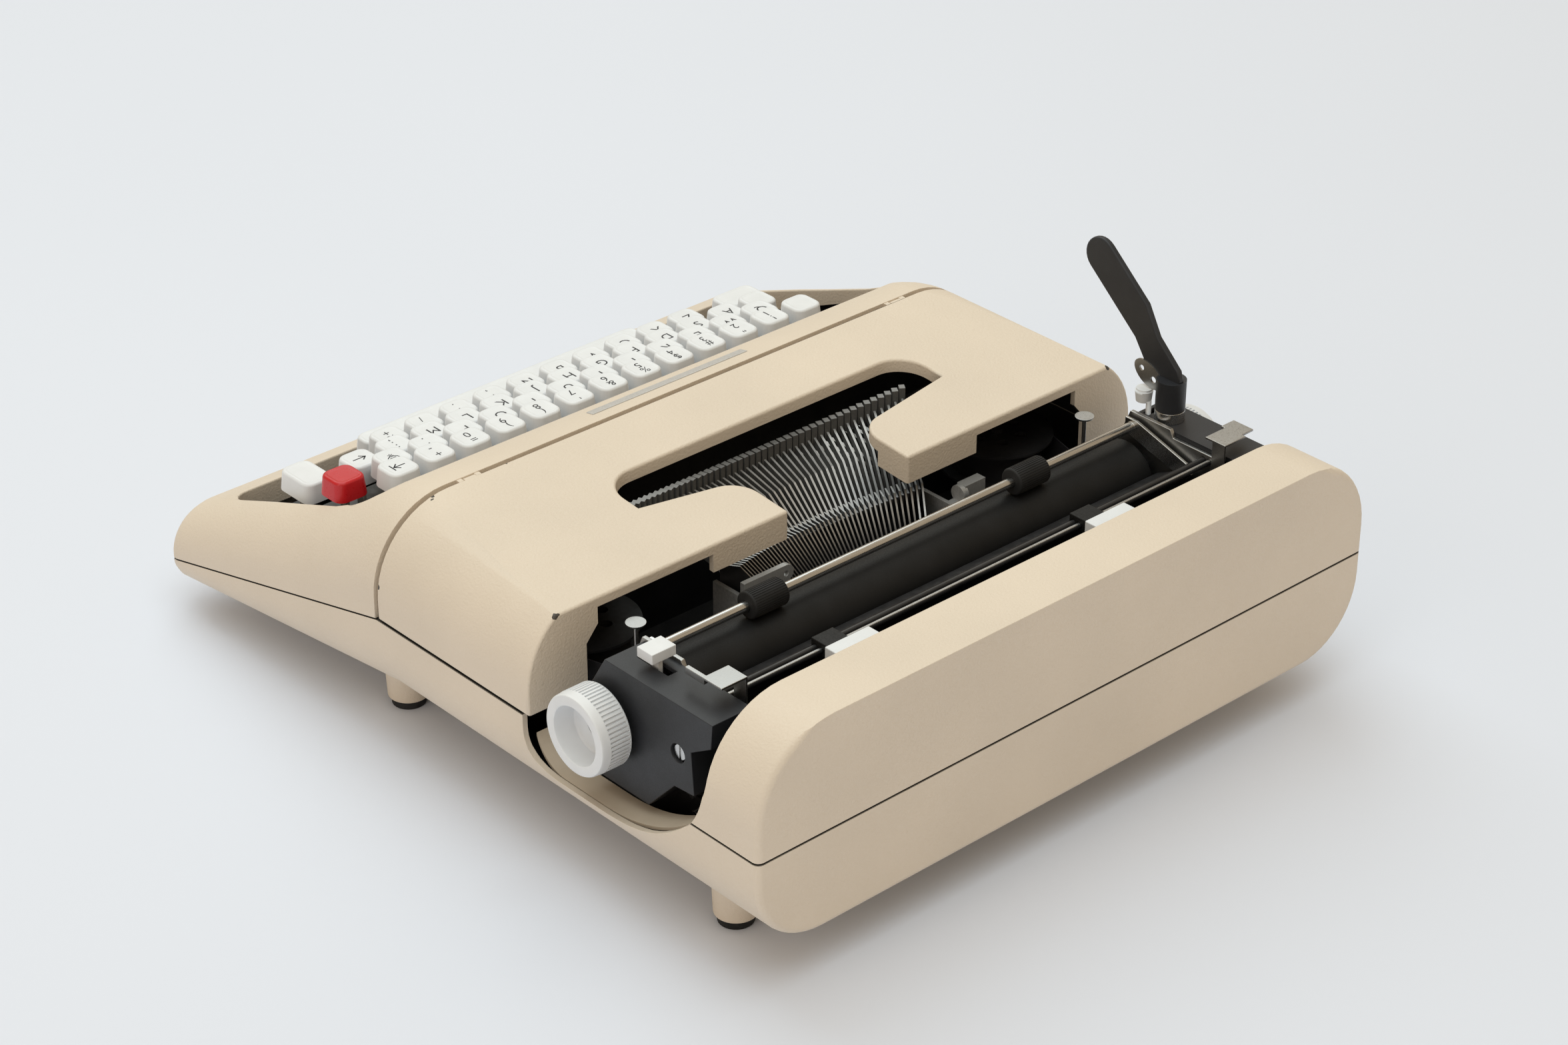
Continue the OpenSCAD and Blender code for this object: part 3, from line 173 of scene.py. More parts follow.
def round_edges(mesh, radius, steps=3, where=None, sharper_than=38, coat_number=-1):
    """Rounds the sharp edges of a mesh that lie where a test says."""
    limit = math.radians(sharper_than)
    edges = []
    for edge in mesh.edges:
        if len(edge.link_faces) != 2 or edge.calc_face_angle(0) < limit:
            continue
        if where is None or where((edge.verts[0].co + edge.verts[1].co) / 2, edge):
            edges.append(edge)
    if edges:
        bevel(mesh, edges, radius, steps, clamp=False, coat_number=coat_number)


def make_piece(mesh, name, body, coats, stands_for=(), even=True, keep_sharp=40):
    """Turns a mesh into a finished piece that rides on a body, no larger than the solid it stands for."""
    for face in mesh.faces:
        face.smooth = True
    for node in stands_for:
        low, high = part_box(node)
        for vert in mesh.verts:
            vert.co = [min(max(value, least), most) for value, least, most in zip(vert.co, low, high)]
    data = bpy.data.meshes.new(name)
    mesh.to_mesh(data)
    mesh.free()
    for coat in coats:
        data.materials.append(coat)
    data.set_sharp_from_angle(angle=math.radians(keep_sharp))
    piece = bpy.data.objects.new(name, data)
    bpy.context.scene.collection.objects.link(piece)
    if even:
        shading = piece.modifiers.new("even_shading", "WEIGHTED_NORMAL")
        shading.keep_sharp = True
        shading.weight = 60
    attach(piece, body)
    if stands_for:
        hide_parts(*stands_for)
    return piece


def body_of(node):
    """Body that a solid rides on."""
    return frame["nodes"][node]["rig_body"]


def stays_within(mesh, node, allowance=0.15 * MM):
    """True if no face of a mesh stands out of a solid."""
    solid = node_copy(node)
    surface = BVHTree.FromBMesh(solid)
    solid.free()
    trial = mesh.copy()
    bmesh.ops.triangulate(trial, faces=trial.faces)
    spots = []
    for face in trial.faces:
        centre = face.calc_center_median()
        spots.append(centre)
        spots.extend((centre + vert.co) / 2 for vert in face.verts)
    trial.free()
    for spot in spots:
        near, normal, _, gap = surface.find_nearest(spot)
        if gap > allowance and (spot - near).dot(normal) > 0:
            return False
    return True


def softened(node, coats, radius, steps=2, paint=None, name=None, where=None):
    """Copy of a solid with its sharp edges rounded alike, less where they don't fit.

    paint sorts the faces by finish, and where tells which edges are rounded.
    """
    for share in ROUNDING_SHARES:
        mesh = sorted_copy(node, paint) if paint else node_copy(node)
        if share:
            round_edges(mesh, radius * share, steps, where)
        if stays_within(mesh, node):
            break
        mesh.free()
    return make_piece(mesh, name or node + "_dressed", body_of(node), coats, (node,))


def dressed(node, coats, paint):
    """Copy of a solid, edge for edge, with its faces sorted by finish."""
    mesh = sorted_copy(node, paint)
    return make_piece(mesh, node + "_dressed", body_of(node), coats, (node,), even=False)


def finish_node(node, coat):
    """Gives a solid that shows as it is its finish."""
    slots = frame["nodes"][node].data.materials
    slots.clear()
    slots.append(coat)


def half_height(node):
    """Radius of a node that is round about an axis along X."""
    low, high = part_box(node)
    return (high[2] - low[2]) / 2


def add_block(mesh, low, high, radius=0, steps=2):
    """Box between two corners, with rounded edges, as part of a mesh."""
    low = Vector(low)
    high = Vector(high)
    made = bmesh.ops.create_cube(mesh, size=1)["verts"]
    bmesh.ops.scale(mesh, vec=high - low, verts=made)
    bmesh.ops.translate(mesh, vec=(low + high) / 2, verts=made)
    if radius:
        edges = {edge for vert in made for edge in vert.link_edges}
        bevel(mesh, list(edges), radius, steps)


def turned(profile, centre, steps):
    """Ring turned about an axis along X from a closed profile of (x, radius) places."""
    mesh = bmesh.new()
    verts = [mesh.verts.new((x, centre.y, centre.z + radius)) for x, radius in profile]
    edges = [mesh.edges.new((a, b)) for a, b in zip(verts, verts[1:] + verts[:1])]
    bmesh.ops.spin(
        mesh, geom=verts + edges, cent=(0, centre.y, centre.z), axis=(1, 0, 0), dvec=(0, 0, 0),
        angle=2 * math.pi, steps=steps, use_merge=True)
    bmesh.ops.remove_doubles(mesh, verts=mesh.verts, dist=1e-7)
    bmesh.ops.recalc_face_normals(mesh, faces=mesh.faces)
    return mesh


def rib(mesh, centre, x_from, x_to, radius, ribs, depth):
    """Presses every second strip of a turned outer face inwards."""
    flank = 0.06 * MM
    strip = math.pi / ribs
    pressed = []
    for face in mesh.faces:
        spot = face.calc_center_median()
        if not (x_from < spot.x < x_to) or abs(face.normal.x) > 0.2:
            continue
        reach = Vector((0, spot.y - centre.y, spot.z - centre.z))
        if abs(reach.length - radius) > 0.03 * radius:
            continue
        turn = math.atan2(reach.y, reach.z) % (2 * math.pi)
        if int(turn / strip) % 2 == 0:
            pressed.append(face)
    bmesh.ops.inset_individual(mesh, faces=pressed, thickness=flank, depth=-depth, use_even_offset=True)


# Finishes

def start_finish(name, colour, rough, metal=0.0):
    """A new finish, with what its pattern is built from: node tree, shader and place on the object."""
    material = bpy.data.materials.new(name)
    material.use_nodes = True
    tree = material.node_tree
    shader = tree.nodes["Principled BSDF"]
    shader.inputs["Base Color"].default_value = (*colour, 1)
    shader.inputs["Roughness"].default_value = rough
    shader.inputs["Metallic"].default_value = metal
    place = tree.nodes.new("ShaderNodeTexCoord").outputs["Object"]
    return material, tree, shader, place


def grain(tree, place, scale, detail=2.0, stretch=None):
    """Fine noise over the object, stretched along an axis if asked."""
    if stretch:
        mapping = tree.nodes.new("ShaderNodeMapping")
        mapping.inputs["Scale"].default_value = stretch
        tree.links.new(place, mapping.inputs["Vector"])
        place = mapping.outputs["Vector"]
    noise = tree.nodes.new("ShaderNodeTexNoise")
    noise.inputs["Scale"].default_value = scale
    noise.inputs["Detail"].default_value = detail
    tree.links.new(place, noise.inputs["Vector"])
    return noise.outputs["Fac"]


def tint(tree, shader, factor, low, high, start=0.3, end=0.7):
    """Base colour that runs between two colours with a pattern."""
    ramp = tree.nodes.new("ShaderNodeValToRGB")
    ramp.color_ramp.elements[0].position = start
    ramp.color_ramp.elements[0].color = (*low, 1)
    ramp.color_ramp.elements[1].position = end
    ramp.color_ramp.elements[1].color = (*high, 1)
    tree.links.new(factor, ramp.inputs["Fac"])
    tree.links.new(ramp.outputs["Color"], shader.inputs["Base Color"])
    return ramp.outputs["Color"]


def vary(tree, factor, socket, low, high):
    """Number on a socket that runs between two values with a pattern."""
    spread = tree.nodes.new("ShaderNodeMapRange")
    spread.inputs["From Min"].default_value = 0.3
    spread.inputs["From Max"].default_value = 0.7
    spread.inputs["To Min"].default_value = low
    spread.inputs["To Max"].default_value = high
    tree.links.new(factor, spread.inputs["Value"])
    tree.links.new(spread.outputs["Result"], socket)


def relief(tree, shader, height, strength, depth):
    """Bump on the shader from a pattern."""
    bump = tree.nodes.new("ShaderNodeBump")
    bump.inputs["Strength"].default_value = strength
    bump.inputs["Distance"].default_value = depth
    tree.links.new(height, bump.inputs["Height"])
    tree.links.new(bump.outputs["Normal"], shader.inputs["Normal"])


def reckon(tree, operation, *terms):
    """Result of one sum over patterns and numbers."""
    node = tree.nodes.new("ShaderNodeMath")
    node.operation = operation
    for socket, term in zip(node.inputs, terms):
        if isinstance(term, float):
            socket.default_value = term
        else:
            tree.links.new(term, socket)
    return node.outputs["Value"]


def shaded(colour, share):
    """A colour made darker or lighter."""
    return tuple(channel * share for channel in colour)


def wrinkle_paint(name, chips=()):
    """Cream wrinkle paint with a leathery grain, and chips at given places."""
    colour = tuple(settings().paint_colour)
    material, tree, shader, place = start_finish(name, colour, rough=0.55)
    cloud = grain(tree, place, scale=14, detail=3)
    base = tint(tree, shader, cloud, shaded(colour, 0.955), shaded(colour, 1.03))
    fine = grain(tree, place, scale=900, detail=2.5)
    vary(tree, fine, shader.inputs["Roughness"], low=0.48, high=0.66)
    relief(tree, shader, fine, strength=0.55, depth=0.4 * MM)
    if not chips:
        return material
    rough_edge = grain(tree, place, scale=500, detail=2)
    ragged_by = 1.6 * MM
    bare = None
    for spot, reach in chips:
        gap = tree.nodes.new("ShaderNodeVectorMath")
        gap.operation = "DISTANCE"
        gap.inputs[1].default_value = spot
        tree.links.new(place, gap.inputs[0])
        ragged = reckon(tree, "MULTIPLY_ADD", rough_edge, ragged_by, gap.outputs["Value"])
        inside = reckon(tree, "LESS_THAN", ragged, reach + ragged_by / 2)
        bare = inside if bare is None else reckon(tree, "MAXIMUM", bare, inside)
    worn = tree.nodes.new("ShaderNodeMix")
    worn.data_type = "RGBA"
    worn.inputs["B"].default_value = (0.07, 0.06, 0.05, 1)
    tree.links.new(bare, worn.inputs["Factor"])
    tree.links.new(base, worn.inputs["A"])
    tree.links.new(worn.outputs["Result"], shader.inputs["Base Color"])
    return material


# Near-black coat for the inside of the casing, also put on the flat faces in the seam, where it is painted
# shade that darkens the joint.
def dark_undercoat_and_seam_shade():
    material, tree, shader, place = start_finish("dark undercoat", (0.02, 0.02, 0.021), rough=0.6)
    patch = grain(tree, place, scale=60, detail=3)
    tint(tree, shader, patch, (0.012, 0.012, 0.013), (0.03, 0.029, 0.028))
    relief(tree, shader, grain(tree, place, scale=1500, detail=2), strength=0.2, depth=0.2 * MM)
    return material


# A dark copy of the cream paint for the rounded edges along the seams: painted shade in the joint.
def painted_seam_shade():
    colour = tuple(settings().paint_colour)
    material, tree, shader, place = start_finish("painted seam shade", shaded(colour, 0.25), rough=0.7)
    tint(tree, shader, grain(tree, place, scale=90, detail=3), shaded(colour, 0.21), shaded(colour, 0.29))
    return material


# A darker copy of the cream paint for the side troughs: painted shade in the dips.
def trough_paint_with_painted_shade():
    material, tree, shader, place = start_finish("trough paint with painted shade", (0.64, 0.545, 0.43), rough=0.5)
    patch = grain(tree, place, scale=40, detail=3)
    tint(tree, shader, patch, (0.60, 0.51, 0.40), (0.68, 0.58, 0.46))
    relief(tree, shader, grain(tree, place, scale=1200, detail=2), strength=0.2, depth=0.2 * MM)
    return material


def black_enamel():
    material, tree, shader, place = start_finish("black enamel", (0.017, 0.017, 0.019), rough=0.38)
    patch = grain(tree, place, scale=50, detail=4)
    tint(tree, shader, patch, (0.011, 0.011, 0.012), (0.026, 0.026, 0.028))
    vary(tree, grain(tree, place, scale=300, detail=3), shader.inputs["Roughness"], low=0.3, high=0.5)
    return material


def charcoal_plastic():
    colour = tuple(settings().cap_colour)
    material, tree, shader, place = start_finish("charcoal plastic", colour, rough=0.42)
    shader.inputs["IOR"].default_value = 1.4
    patch = grain(tree, place, scale=90, detail=4)
    tint(tree, shader, patch, shaded(colour, 0.88), shaded(colour, 1.15))
    fine = grain(tree, place, scale=2200, detail=2)
    vary(tree, fine, shader.inputs["Roughness"], low=0.36, high=0.5)
    relief(tree, shader, fine, strength=0.12, depth=0.12 * MM)
    return material


def moulded_plastic(name, colour, rough):
    """Smooth moulded plastic with a faint mottle."""
    material, tree, shader, place = start_finish(name, colour, rough)
    patch = grain(tree, place, scale=120, detail=3)
    tint(tree, shader, patch, shaded(colour, 0.965), shaded(colour, 1.015))
    gloss = grain(tree, place, scale=700, detail=2)
    vary(tree, gloss, shader.inputs["Roughness"], rough - 0.06, rough + 0.08)
    relief(tree, shader, grain(tree, place, scale=1800, detail=1), strength=0.05, depth=0.1 * MM)
    return material


def brushed_steel(name, light, rough, stretch, metal=1):
    """Steel with fine brush marks along one axis."""
    material, tree, shader, place = start_finish(name, (light, light, light * 0.99), rough, metal)
    brush = grain(tree, place, scale=900, detail=3, stretch=stretch)
    tint(tree, shader, brush, (light * 0.8,) * 3, (light * 1.08, light * 1.08, light * 1.06))
    vary(tree, brush, shader.inputs["Roughness"], rough - 0.08, rough + 0.12)
    relief(tree, shader, brush, strength=0.08, depth=0.05 * MM)
    return material


def black_rubber(name, light, rough):
    material, tree, shader, place = start_finish(name, (light, light, light * 1.05), rough)
    patch = grain(tree, place, scale=80, detail=4)
    tint(tree, shader, patch, (light * 0.75,) * 3, (light * 1.3, light * 1.3, light * 1.35))
    shader.inputs["IOR"].default_value = 1.33
    fine = grain(tree, place, scale=1600, detail=3)
    vary(tree, fine, shader.inputs["Roughness"], rough - 0.08, rough + 0.1)
    relief(tree, shader, fine, strength=0.12, depth=0.1 * MM)
    return material


def inked_weave():
    material, tree, shader, place = start_finish("inked weave", (0.012, 0.012, 0.014), rough=0.8)
    threads = tree.nodes.new("ShaderNodeTexWave")
    threads.bands_direction = "Z"
    threads.inputs["Scale"].default_value = 1400
    threads.inputs["Distortion"].default_value = 1.5
    tree.links.new(place, threads.inputs["Vector"])
    tint(tree, shader, threads.outputs["Fac"], (0.006, 0.006, 0.008), (0.022, 0.021, 0.026), 0.1, 0.9)
    relief(tree, shader, threads.outputs["Fac"], strength=0.4, depth=0.1 * MM)
    return material


def ink_print():
    material, tree, shader, place = start_finish("printed ink", (0.025, 0.025, 0.03), rough=0.6)
    tint(tree, shader, grain(tree, place, scale=1500, detail=2), (0.015, 0.015, 0.02), (0.05, 0.05, 0.055))
    return material


# Places and radii of the chips in the ribbon cover's paint, in millimetres
chip_places = (
    (154.7, -134.3, 38.7, 1.5), (153.2, -134.2, 38.9, 0.8), (-154.7, -134.3, 38.7, 1.4),
    (140.2, -231.0, 45.2, 1.1), (141.5, -229.2, 45.0, 0.7), (169.4, -231.1, 14.5, 1.0),
    (102.0, -231.2, 46.4, 0.6),
)


def chipped_paint():
    """Cream wrinkle paint with the ribbon cover's chips."""
    chips = [(at(x, y, z), reach * MM) for x, y, z, reach in chip_places]
    return wrinkle_paint("chipped wrinkle paint", chips)


finish_makers = {
    "paint": lambda: wrinkle_paint("cream wrinkle paint"),
    "chipped_paint": chipped_paint,
    "undercoat_and_seam_shade": dark_undercoat_and_seam_shade,
    "painted_seam_shade": painted_seam_shade,
    "lining": trough_paint_with_painted_shade,
    "enamel": black_enamel,
    "charcoal": charcoal_plastic,
    "white": lambda: moulded_plastic("white plastic", tuple(settings().key_colour), rough=0.38),
    "red": lambda: moulded_plastic("red plastic", tuple(settings().red_colour), rough=0.32),
    "steel": lambda: brushed_steel("brushed steel", light=0.46, rough=0.34, stretch=(1, 8, 8)),
    "typebar_steel": lambda: brushed_steel("typebar steel", light=0.46, rough=0.42, stretch=(8, 1, 8)),
    "slug_steel": lambda: brushed_steel("slug steel", light=0.30, rough=0.55, stretch=(3, 3, 3)),
    "plate_steel": lambda: brushed_steel("plate steel", light=0.46, rough=0.45, stretch=(6, 1, 1), metal=0.4),
    "strip_steel": lambda: brushed_steel("strip steel", light=0.62, rough=0.4, stretch=(1, 8, 8), metal=0.5),
    "bright": lambda: brushed_steel("bright steel", light=0.62, rough=0.2, stretch=(0.1, 6, 6)),
    "platen_rubber": lambda: black_rubber("platen rubber", light=0.008, rough=0.5),
    "rubber": lambda: black_rubber("soft rubber", light=0.018, rough=0.62),
    "weave": inked_weave,
    "ink": ink_print,
}
made_finishes = {}


def finish(name):
    """A finish by its plain name, made once."""
    if name not in made_finishes:
        made_finishes[name] = finish_makers[name]()
    return made_finishes[name]


# Casing

# Places that tell the casing's joint, inside and outer skin apart; sides are measured from the middle
SEAM_FACES = SEAM - 1.5 * MM
CASING_MIDDLE = Vector((0, REAR_FACE - 0.19, SEAM))
REAR_WALL = 3.2 * MM
FRONT_WALL = 3.6 * MM
DIP_FROM = 0.14
REAR_COVER_SIDE = 0.14
TOP_COVER_SIDE = 0.1415
FRONT_COVER_SIDE = 0.156
SKIN_SIDE = 0.128
# Coats of a shell: cream paint; near-black for the inside, which is painted shade on the seam faces; and a
# dark copy of the paint as painted shade on the seam edges
shell_coats = ("paint", "undercoat_and_seam_shade", "painted_seam_shade")
# Number of the coat that puts painted shade on the rounded seam edges
SEAM_SHADE_COAT = shell_coats.index("painted_seam_shade")


def in_seam(face):
    """True for the flat faces that meet at the casing's seam."""
    return abs(face.normal.z) > 0.9 and abs(face.calc_center_median().z - SEAM_FACES) < 0.6 * MM


def beside_seam(edge):
    """True for an edge of a face that meets the seam."""
    return any(in_seam(face) for face in edge.link_faces)


def seam_line(spot, edge):
    """True for the outer edge of a face that meets the seam."""
    walls = [face for face in edge.link_faces if not in_seam(face)]
    if len(walls) != 1:
        return False
    away = walls[0].calc_center_median() - CASING_MIDDLE
    return walls[0].normal.dot(away) > 0


def sideways(face):
    """How far a face turns away from the middle, from -1 to 1."""
    return face.normal.x * math.copysign(1, face.calc_center_median().x)


def base_inside(face):
    """1 for a face on the inside of the base or in the seam, where the dark coat is painted shade, 0 for one
    outside or on its dipped rim.
    """
    spot = face.calc_center_median()
    low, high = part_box("base_shell")
    if in_seam(face):
        return 1
    if face.normal.y < -0.7:
        return 1 if spot.y > high[1] - REAR_WALL else 0
    if face.normal.y > 0.7:
        return 1 if spot.y < low[1] + FRONT_WALL else 0
    looks_up = face.normal.z > 0.3 and abs(face.normal.x) < 0.25
    if looks_up and spot.z > low[2] + 15 * MM and abs(spot.x) > DIP_FROM:
        return 0
    away = Vector((spot.x, 0, spot.z - SEAM + 10 * MM))
    return 1 if face.normal.dot(away) < 0 else 0


def cover_inside(side_from, front_wall=None):
    """Gives a sorter of a cover's faces: 1 for the inside, 0 for the outside.

    The cover's inner sides lie beyond side_from, and its inner front wall lies before front_wall.
    """
    def sort(face):
        spot = face.calc_center_median()
        if front_wall is not None and face.normal.y > 0.7 and spot.y < front_wall:
            return 1
        # Faces in the seam take the dark coat as painted shade in the joint
        if in_seam(face) or face.normal.z < -0.3 and spot.z > SEAM + 2 * MM:
            return 1
        if abs(spot.x) > side_from and sideways(face) < -0.5:
            return 1
        return 1 if face.normal.y < -0.7 and REAR_FACE - REAR_WALL < spot.y < REAR_FACE - 1 * MM else 0
    return sort


def skin_edge(edge, side_from=SKIN_SIDE):
    """True for an edge of the casing's outer skin, whose sides lie beyond a distance from the middle."""
    for face in edge.link_faces:
        on_side = abs(face.calc_center_median().x) > side_from
        if face.normal.z > 0.75 or on_side and sideways(face) + face.normal.z > 0.9:
            return True
    return False


def rear_face_edge(edge):
    """True for an edge of the casing's rear face, but not where a flat top meets it."""
    normals = [face.normal for face in edge.link_faces]
    if all(normal.z > 0.9 or normal.y > 0.9 for normal in normals):
        return False
    return any(normal.y > 0.9 for normal in normals)


def round_rear_face(mesh, rim):
    """Rounds a shell round its rear face, but not along the rim at the seam."""
    def where(spot, edge):
        return spot.y > REAR_FACE - 0.2 * MM and rear_face_edge(edge) and abs(spot.z - rim) > 0.3 * MM

    round_edges(mesh, settings().rear_edge, 4, where)


def round_skin(mesh, before=math.inf):
    """Breaks the outer skin's edges before a depth, and then those along the seam in a dark copy of the
    paint, as painted shade.
    """
    fine = settings().seam_edge
    round_edges(mesh, fine, 2,
                lambda spot, edge: spot.y < before and skin_edge(edge) and not beside_seam(edge))
    round_edges(mesh, fine, 2, seam_line, coat_number=SEAM_SHADE_COAT)


def painted(mesh, node, coats):
    """Makes the painted piece that stands for a solid of the casing."""
    paints = [finish(coat) for coat in coats]
    make_piece(mesh, node + "_painted", body_of(node), paints, (node,))


class TYPEWRITER_OT_casing(bpy.types.Operator):
    """Paint the base, the covers and the feet, with rounded edges"""

    bl_idname = "typewriter.casing"
    bl_label = "Casing"

    def execute(self, context):
        look = settings()
        base = sorted_copy("base_shell", base_inside)
        round_rear_face(base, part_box("base_shell")[1][2])
        round_skin(base)
        painted(base, "base_shell", shell_coats)

        rear = sorted_copy("rear_cover", cover_inside(REAR_COVER_SIDE))
        rear_low, rear_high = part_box("rear_cover")
        round_rear_face(rear, rear_low[2])
        front_rim = rear_high[1] - 24 * MM
        round_edges(rear, 1.0 * MM, 3,
                    lambda spot, edge: spot.z > rear_low[2] + 15 * MM and spot.y < front_rim)
        round_skin(rear)
        painted(rear, "rear_cover", shell_coats)

        front = sorted_copy("front_cover", cover_inside(FRONT_COVER_SIDE))
        opening_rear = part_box("front_cover")[1][1] - 10 * MM

        def front_skin(spot, edge):
            return skin_edge(edge, FRONT_COVER_SIDE)

        def opening(spot, edge):
            return spot.y < opening_rear and abs(spot.x) < FRONT_COVER_SIDE and front_skin(spot, edge)

        round_edges(front, look.slot_edge, 3, opening)
        round_edges(front, look.seam_edge, 2, front_skin)
        painted(front, "front_cover", ("paint", "undercoat_and_seam_shade"))

        top_low, top_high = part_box("top_cover")
        top = sorted_copy("top_cover", cover_inside(TOP_COVER_SIDE, top_low[1] + 8 * MM))
        groove_y = top_low[1] + 6 * MM

        def arm_corner(spot, edge):
            upright = abs(edge.verts[0].co.z - edge.verts[1].co.z) > 5 * MM
            return upright and abs(spot.x) < 0.04 and spot.y > top_high[1] - 0.1 * MM

        round_edges(top, look.slot_edge, 3,
                    lambda spot, edge: spot.y > groove_y and skin_edge(edge) or arm_corner(spot, edge))
        round_skin(top, groove_y)
        painted(top, "top_cover", ("chipped_paint", "undercoat_and_seam_shade", "painted_seam_shade"))

        softened("feet", [finish("paint")], 0.8 * MM, 3, name="feet_painted")
        return {"FINISHED"}


class TYPEWRITER_OT_linings(bpy.types.Operator):
    """Foot pads, linings, hinges and the plain strip above the keys"""

    bl_idname = "typewriter.linings"
    bl_label = "Linings and trim"

    def execute(self, context):
        softened("foot_pads", [finish("rubber")], 0.7 * MM, 3)
        # The side troughs take the cream paint darkened as painted shade
        finish_node("side_troughs", finish("lining"))
        finish_node("cover_hinges", finish("paint"))
        cover = node_copy("front_cover")
        above = at(4.5, -243, 90)
        place, normal, _, _ = BVHTree.FromBMesh(cover).ray_cast(above, Vector((0, 0, -1)))
        cover.free()
        if place is None:
            raise RuntimeError("the strip has no cover under it")
        strip = bmesh.new()
        half_length = 43.5 * MM
        half_width = 2.4 * MM
        sunk = 0.35 * MM
        proud = 0.45 * MM
        add_block(strip, (-half_length, -half_width, -sunk), (half_length, half_width, proud), radius=sunk)
        turn = Vector((0, 0, 1)).rotation_difference(normal).to_matrix().to_4x4()
        bmesh.ops.transform(strip, matrix=Matrix.Translation(place) @ turn, verts=strip.verts)
        make_piece(strip, "plain_strip", "casing", [finish("strip_steel")])
        return {"FINISHED"}


class TYPEWRITER_OT_inner_works(bpy.types.Operator):
    """Frame, rails, bell, drum, escapement wheel, spools, ribbon and its posts"""

    bl_idname = "typewriter.inner_works"
    bl_label = "Inner works"

    def execute(self, context):
        looks = {
            "main_frame": "enamel", "carriage_rails": "bright", "key_guide": "enamel", "bell": "bright",
            "bell_hammer": "steel", "mainspring_drum": "steel",
            "ribbon_spool_left": "enamel", "ribbon_spool_right": "enamel", "ink_ribbon": "weave",
            "ribbon_vibrator": "steel",
        }
        for node, look in looks.items():
            finish_node(node, finish(look))
        softened("ribbon_posts", [finish("steel")], 0.25 * MM)
        wheel = node_copy("escapement_wheel")
        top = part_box("escapement_wheel")[1][2]
        # Room under the end cap, which passes over the wheel
        play = 0.3 * MM
        rim = [vert for vert in wheel.verts if vert.co.z > top - 0.1 * MM]
        bmesh.ops.translate(wheel, vec=(0, 0, -play), verts=rim)
        make_piece(wheel, "escapement_wheel_dressed", body_of("escapement_wheel"), [finish("steel")],
                   ("escapement_wheel",), even=False)
        return {"FINISHED"}


class TYPEWRITER_OT_type_basket(bpy.types.Operator):
    """Type segment, typebars with their slugs, and side plates"""

    bl_idname = "typewriter.type_basket"
    bl_label = "Type basket"

    def execute(self, context):
        fin_from = at(0, -176, 0).y
        fin_area = 40 * MM * MM

        def fin_top(face):
            small_top = face.normal.z > 0.3 and face.calc_area() < fin_area
            return 1 if small_top and face.calc_center_median().y > fin_from else 0

        dressed("type_segment", [finish("enamel"), finish("typebar_steel")], fin_top)
        slug_front = at(0, -180, 0).y

        def slug(face):
            return 1 if face.calc_center_median().y < slug_front else 0

        for node in ("typebars", "live_typebar"):
            dressed(node, [finish("typebar_steel"), finish("slug_steel")], slug)
        softened("basket_plates", [finish("plate_steel")], 0.4 * MM)
        return {"FINISHED"}


# Keys

row_legends = {
    "keys_row_1": ["", "1 !", "2 \"", "3 #", "4 $", "5 %", "6 &", "7 '", "8 (", "9 )", "0 =", "- +"],
    "keys_row_2": ["Q", "W", "E", "R", "T", "Y", "U", "I", "O", "P", ". :", "* @"],
    "keys_row_3": ["A", "S", "D", "F", "G", "J", "K", "L", "M", "; :"],
    "keys_row_4": ["Z", "X", "C", "V", "B", "N", ", ?", ". !", "/ -", "+ %"],
    "live_key": ["H"],
}
# Strokes of the drawn signs, from and to, in millimetres from the middle of the cap
drawn_signs = {
    "tab_arrow": ("tab_key", (
        ((-3, 0), (2.2, 0)), ((2.2, 0), (0.2, 1.8)), ((2.2, 0), (0.2, -1.8)), ((3, -2.2), (3, 2.2)))),
    "backspace_arrow": ("backspace_key", (
        ((-3, 0), (3, 0)), ((-3, 0), (-1, 1.8)), ((-3, 0), (-1, -1.8)))),
}
key_nodes = (
    "keys_row_1", "keys_row_2", "keys_row_3", "keys_row_4", "live_key", "tab_key", "red_key",
    "shift_lock_key", "backspace_key", "shift_keys", "space_bar",
)
CAP_HEIGHT = 9 * MM
LETTER_CAP_WIDTH = 14.6 * MM


def cap_places(node):
    """Middle of the top, width and depth of each key cap of a node, from left to right."""
    mesh = node_copy(node)
    left = set(mesh.verts)
    places = []
    while left:
        island = [left.pop()]
        for vert in island:
            for edge in vert.link_edges:
                other = edge.other_vert(vert)
                if other in left:
                    left.remove(other)
                    island.append(other)
        top = max(vert.co.z for vert in island)
        rim = [vert.co for vert in island if vert.co.z > top - 1e-5]
        low = Vector((min(c.x for c in rim), min(c.y for c in rim), top))
        high = Vector((max(c.x for c in rim), max(c.y for c in rim), top))
        places.append(((low + high) / 2, high.x - low.x, high.y - low.y))
    mesh.free()
    return sorted(places, key=lambda cap: cap[0].x)


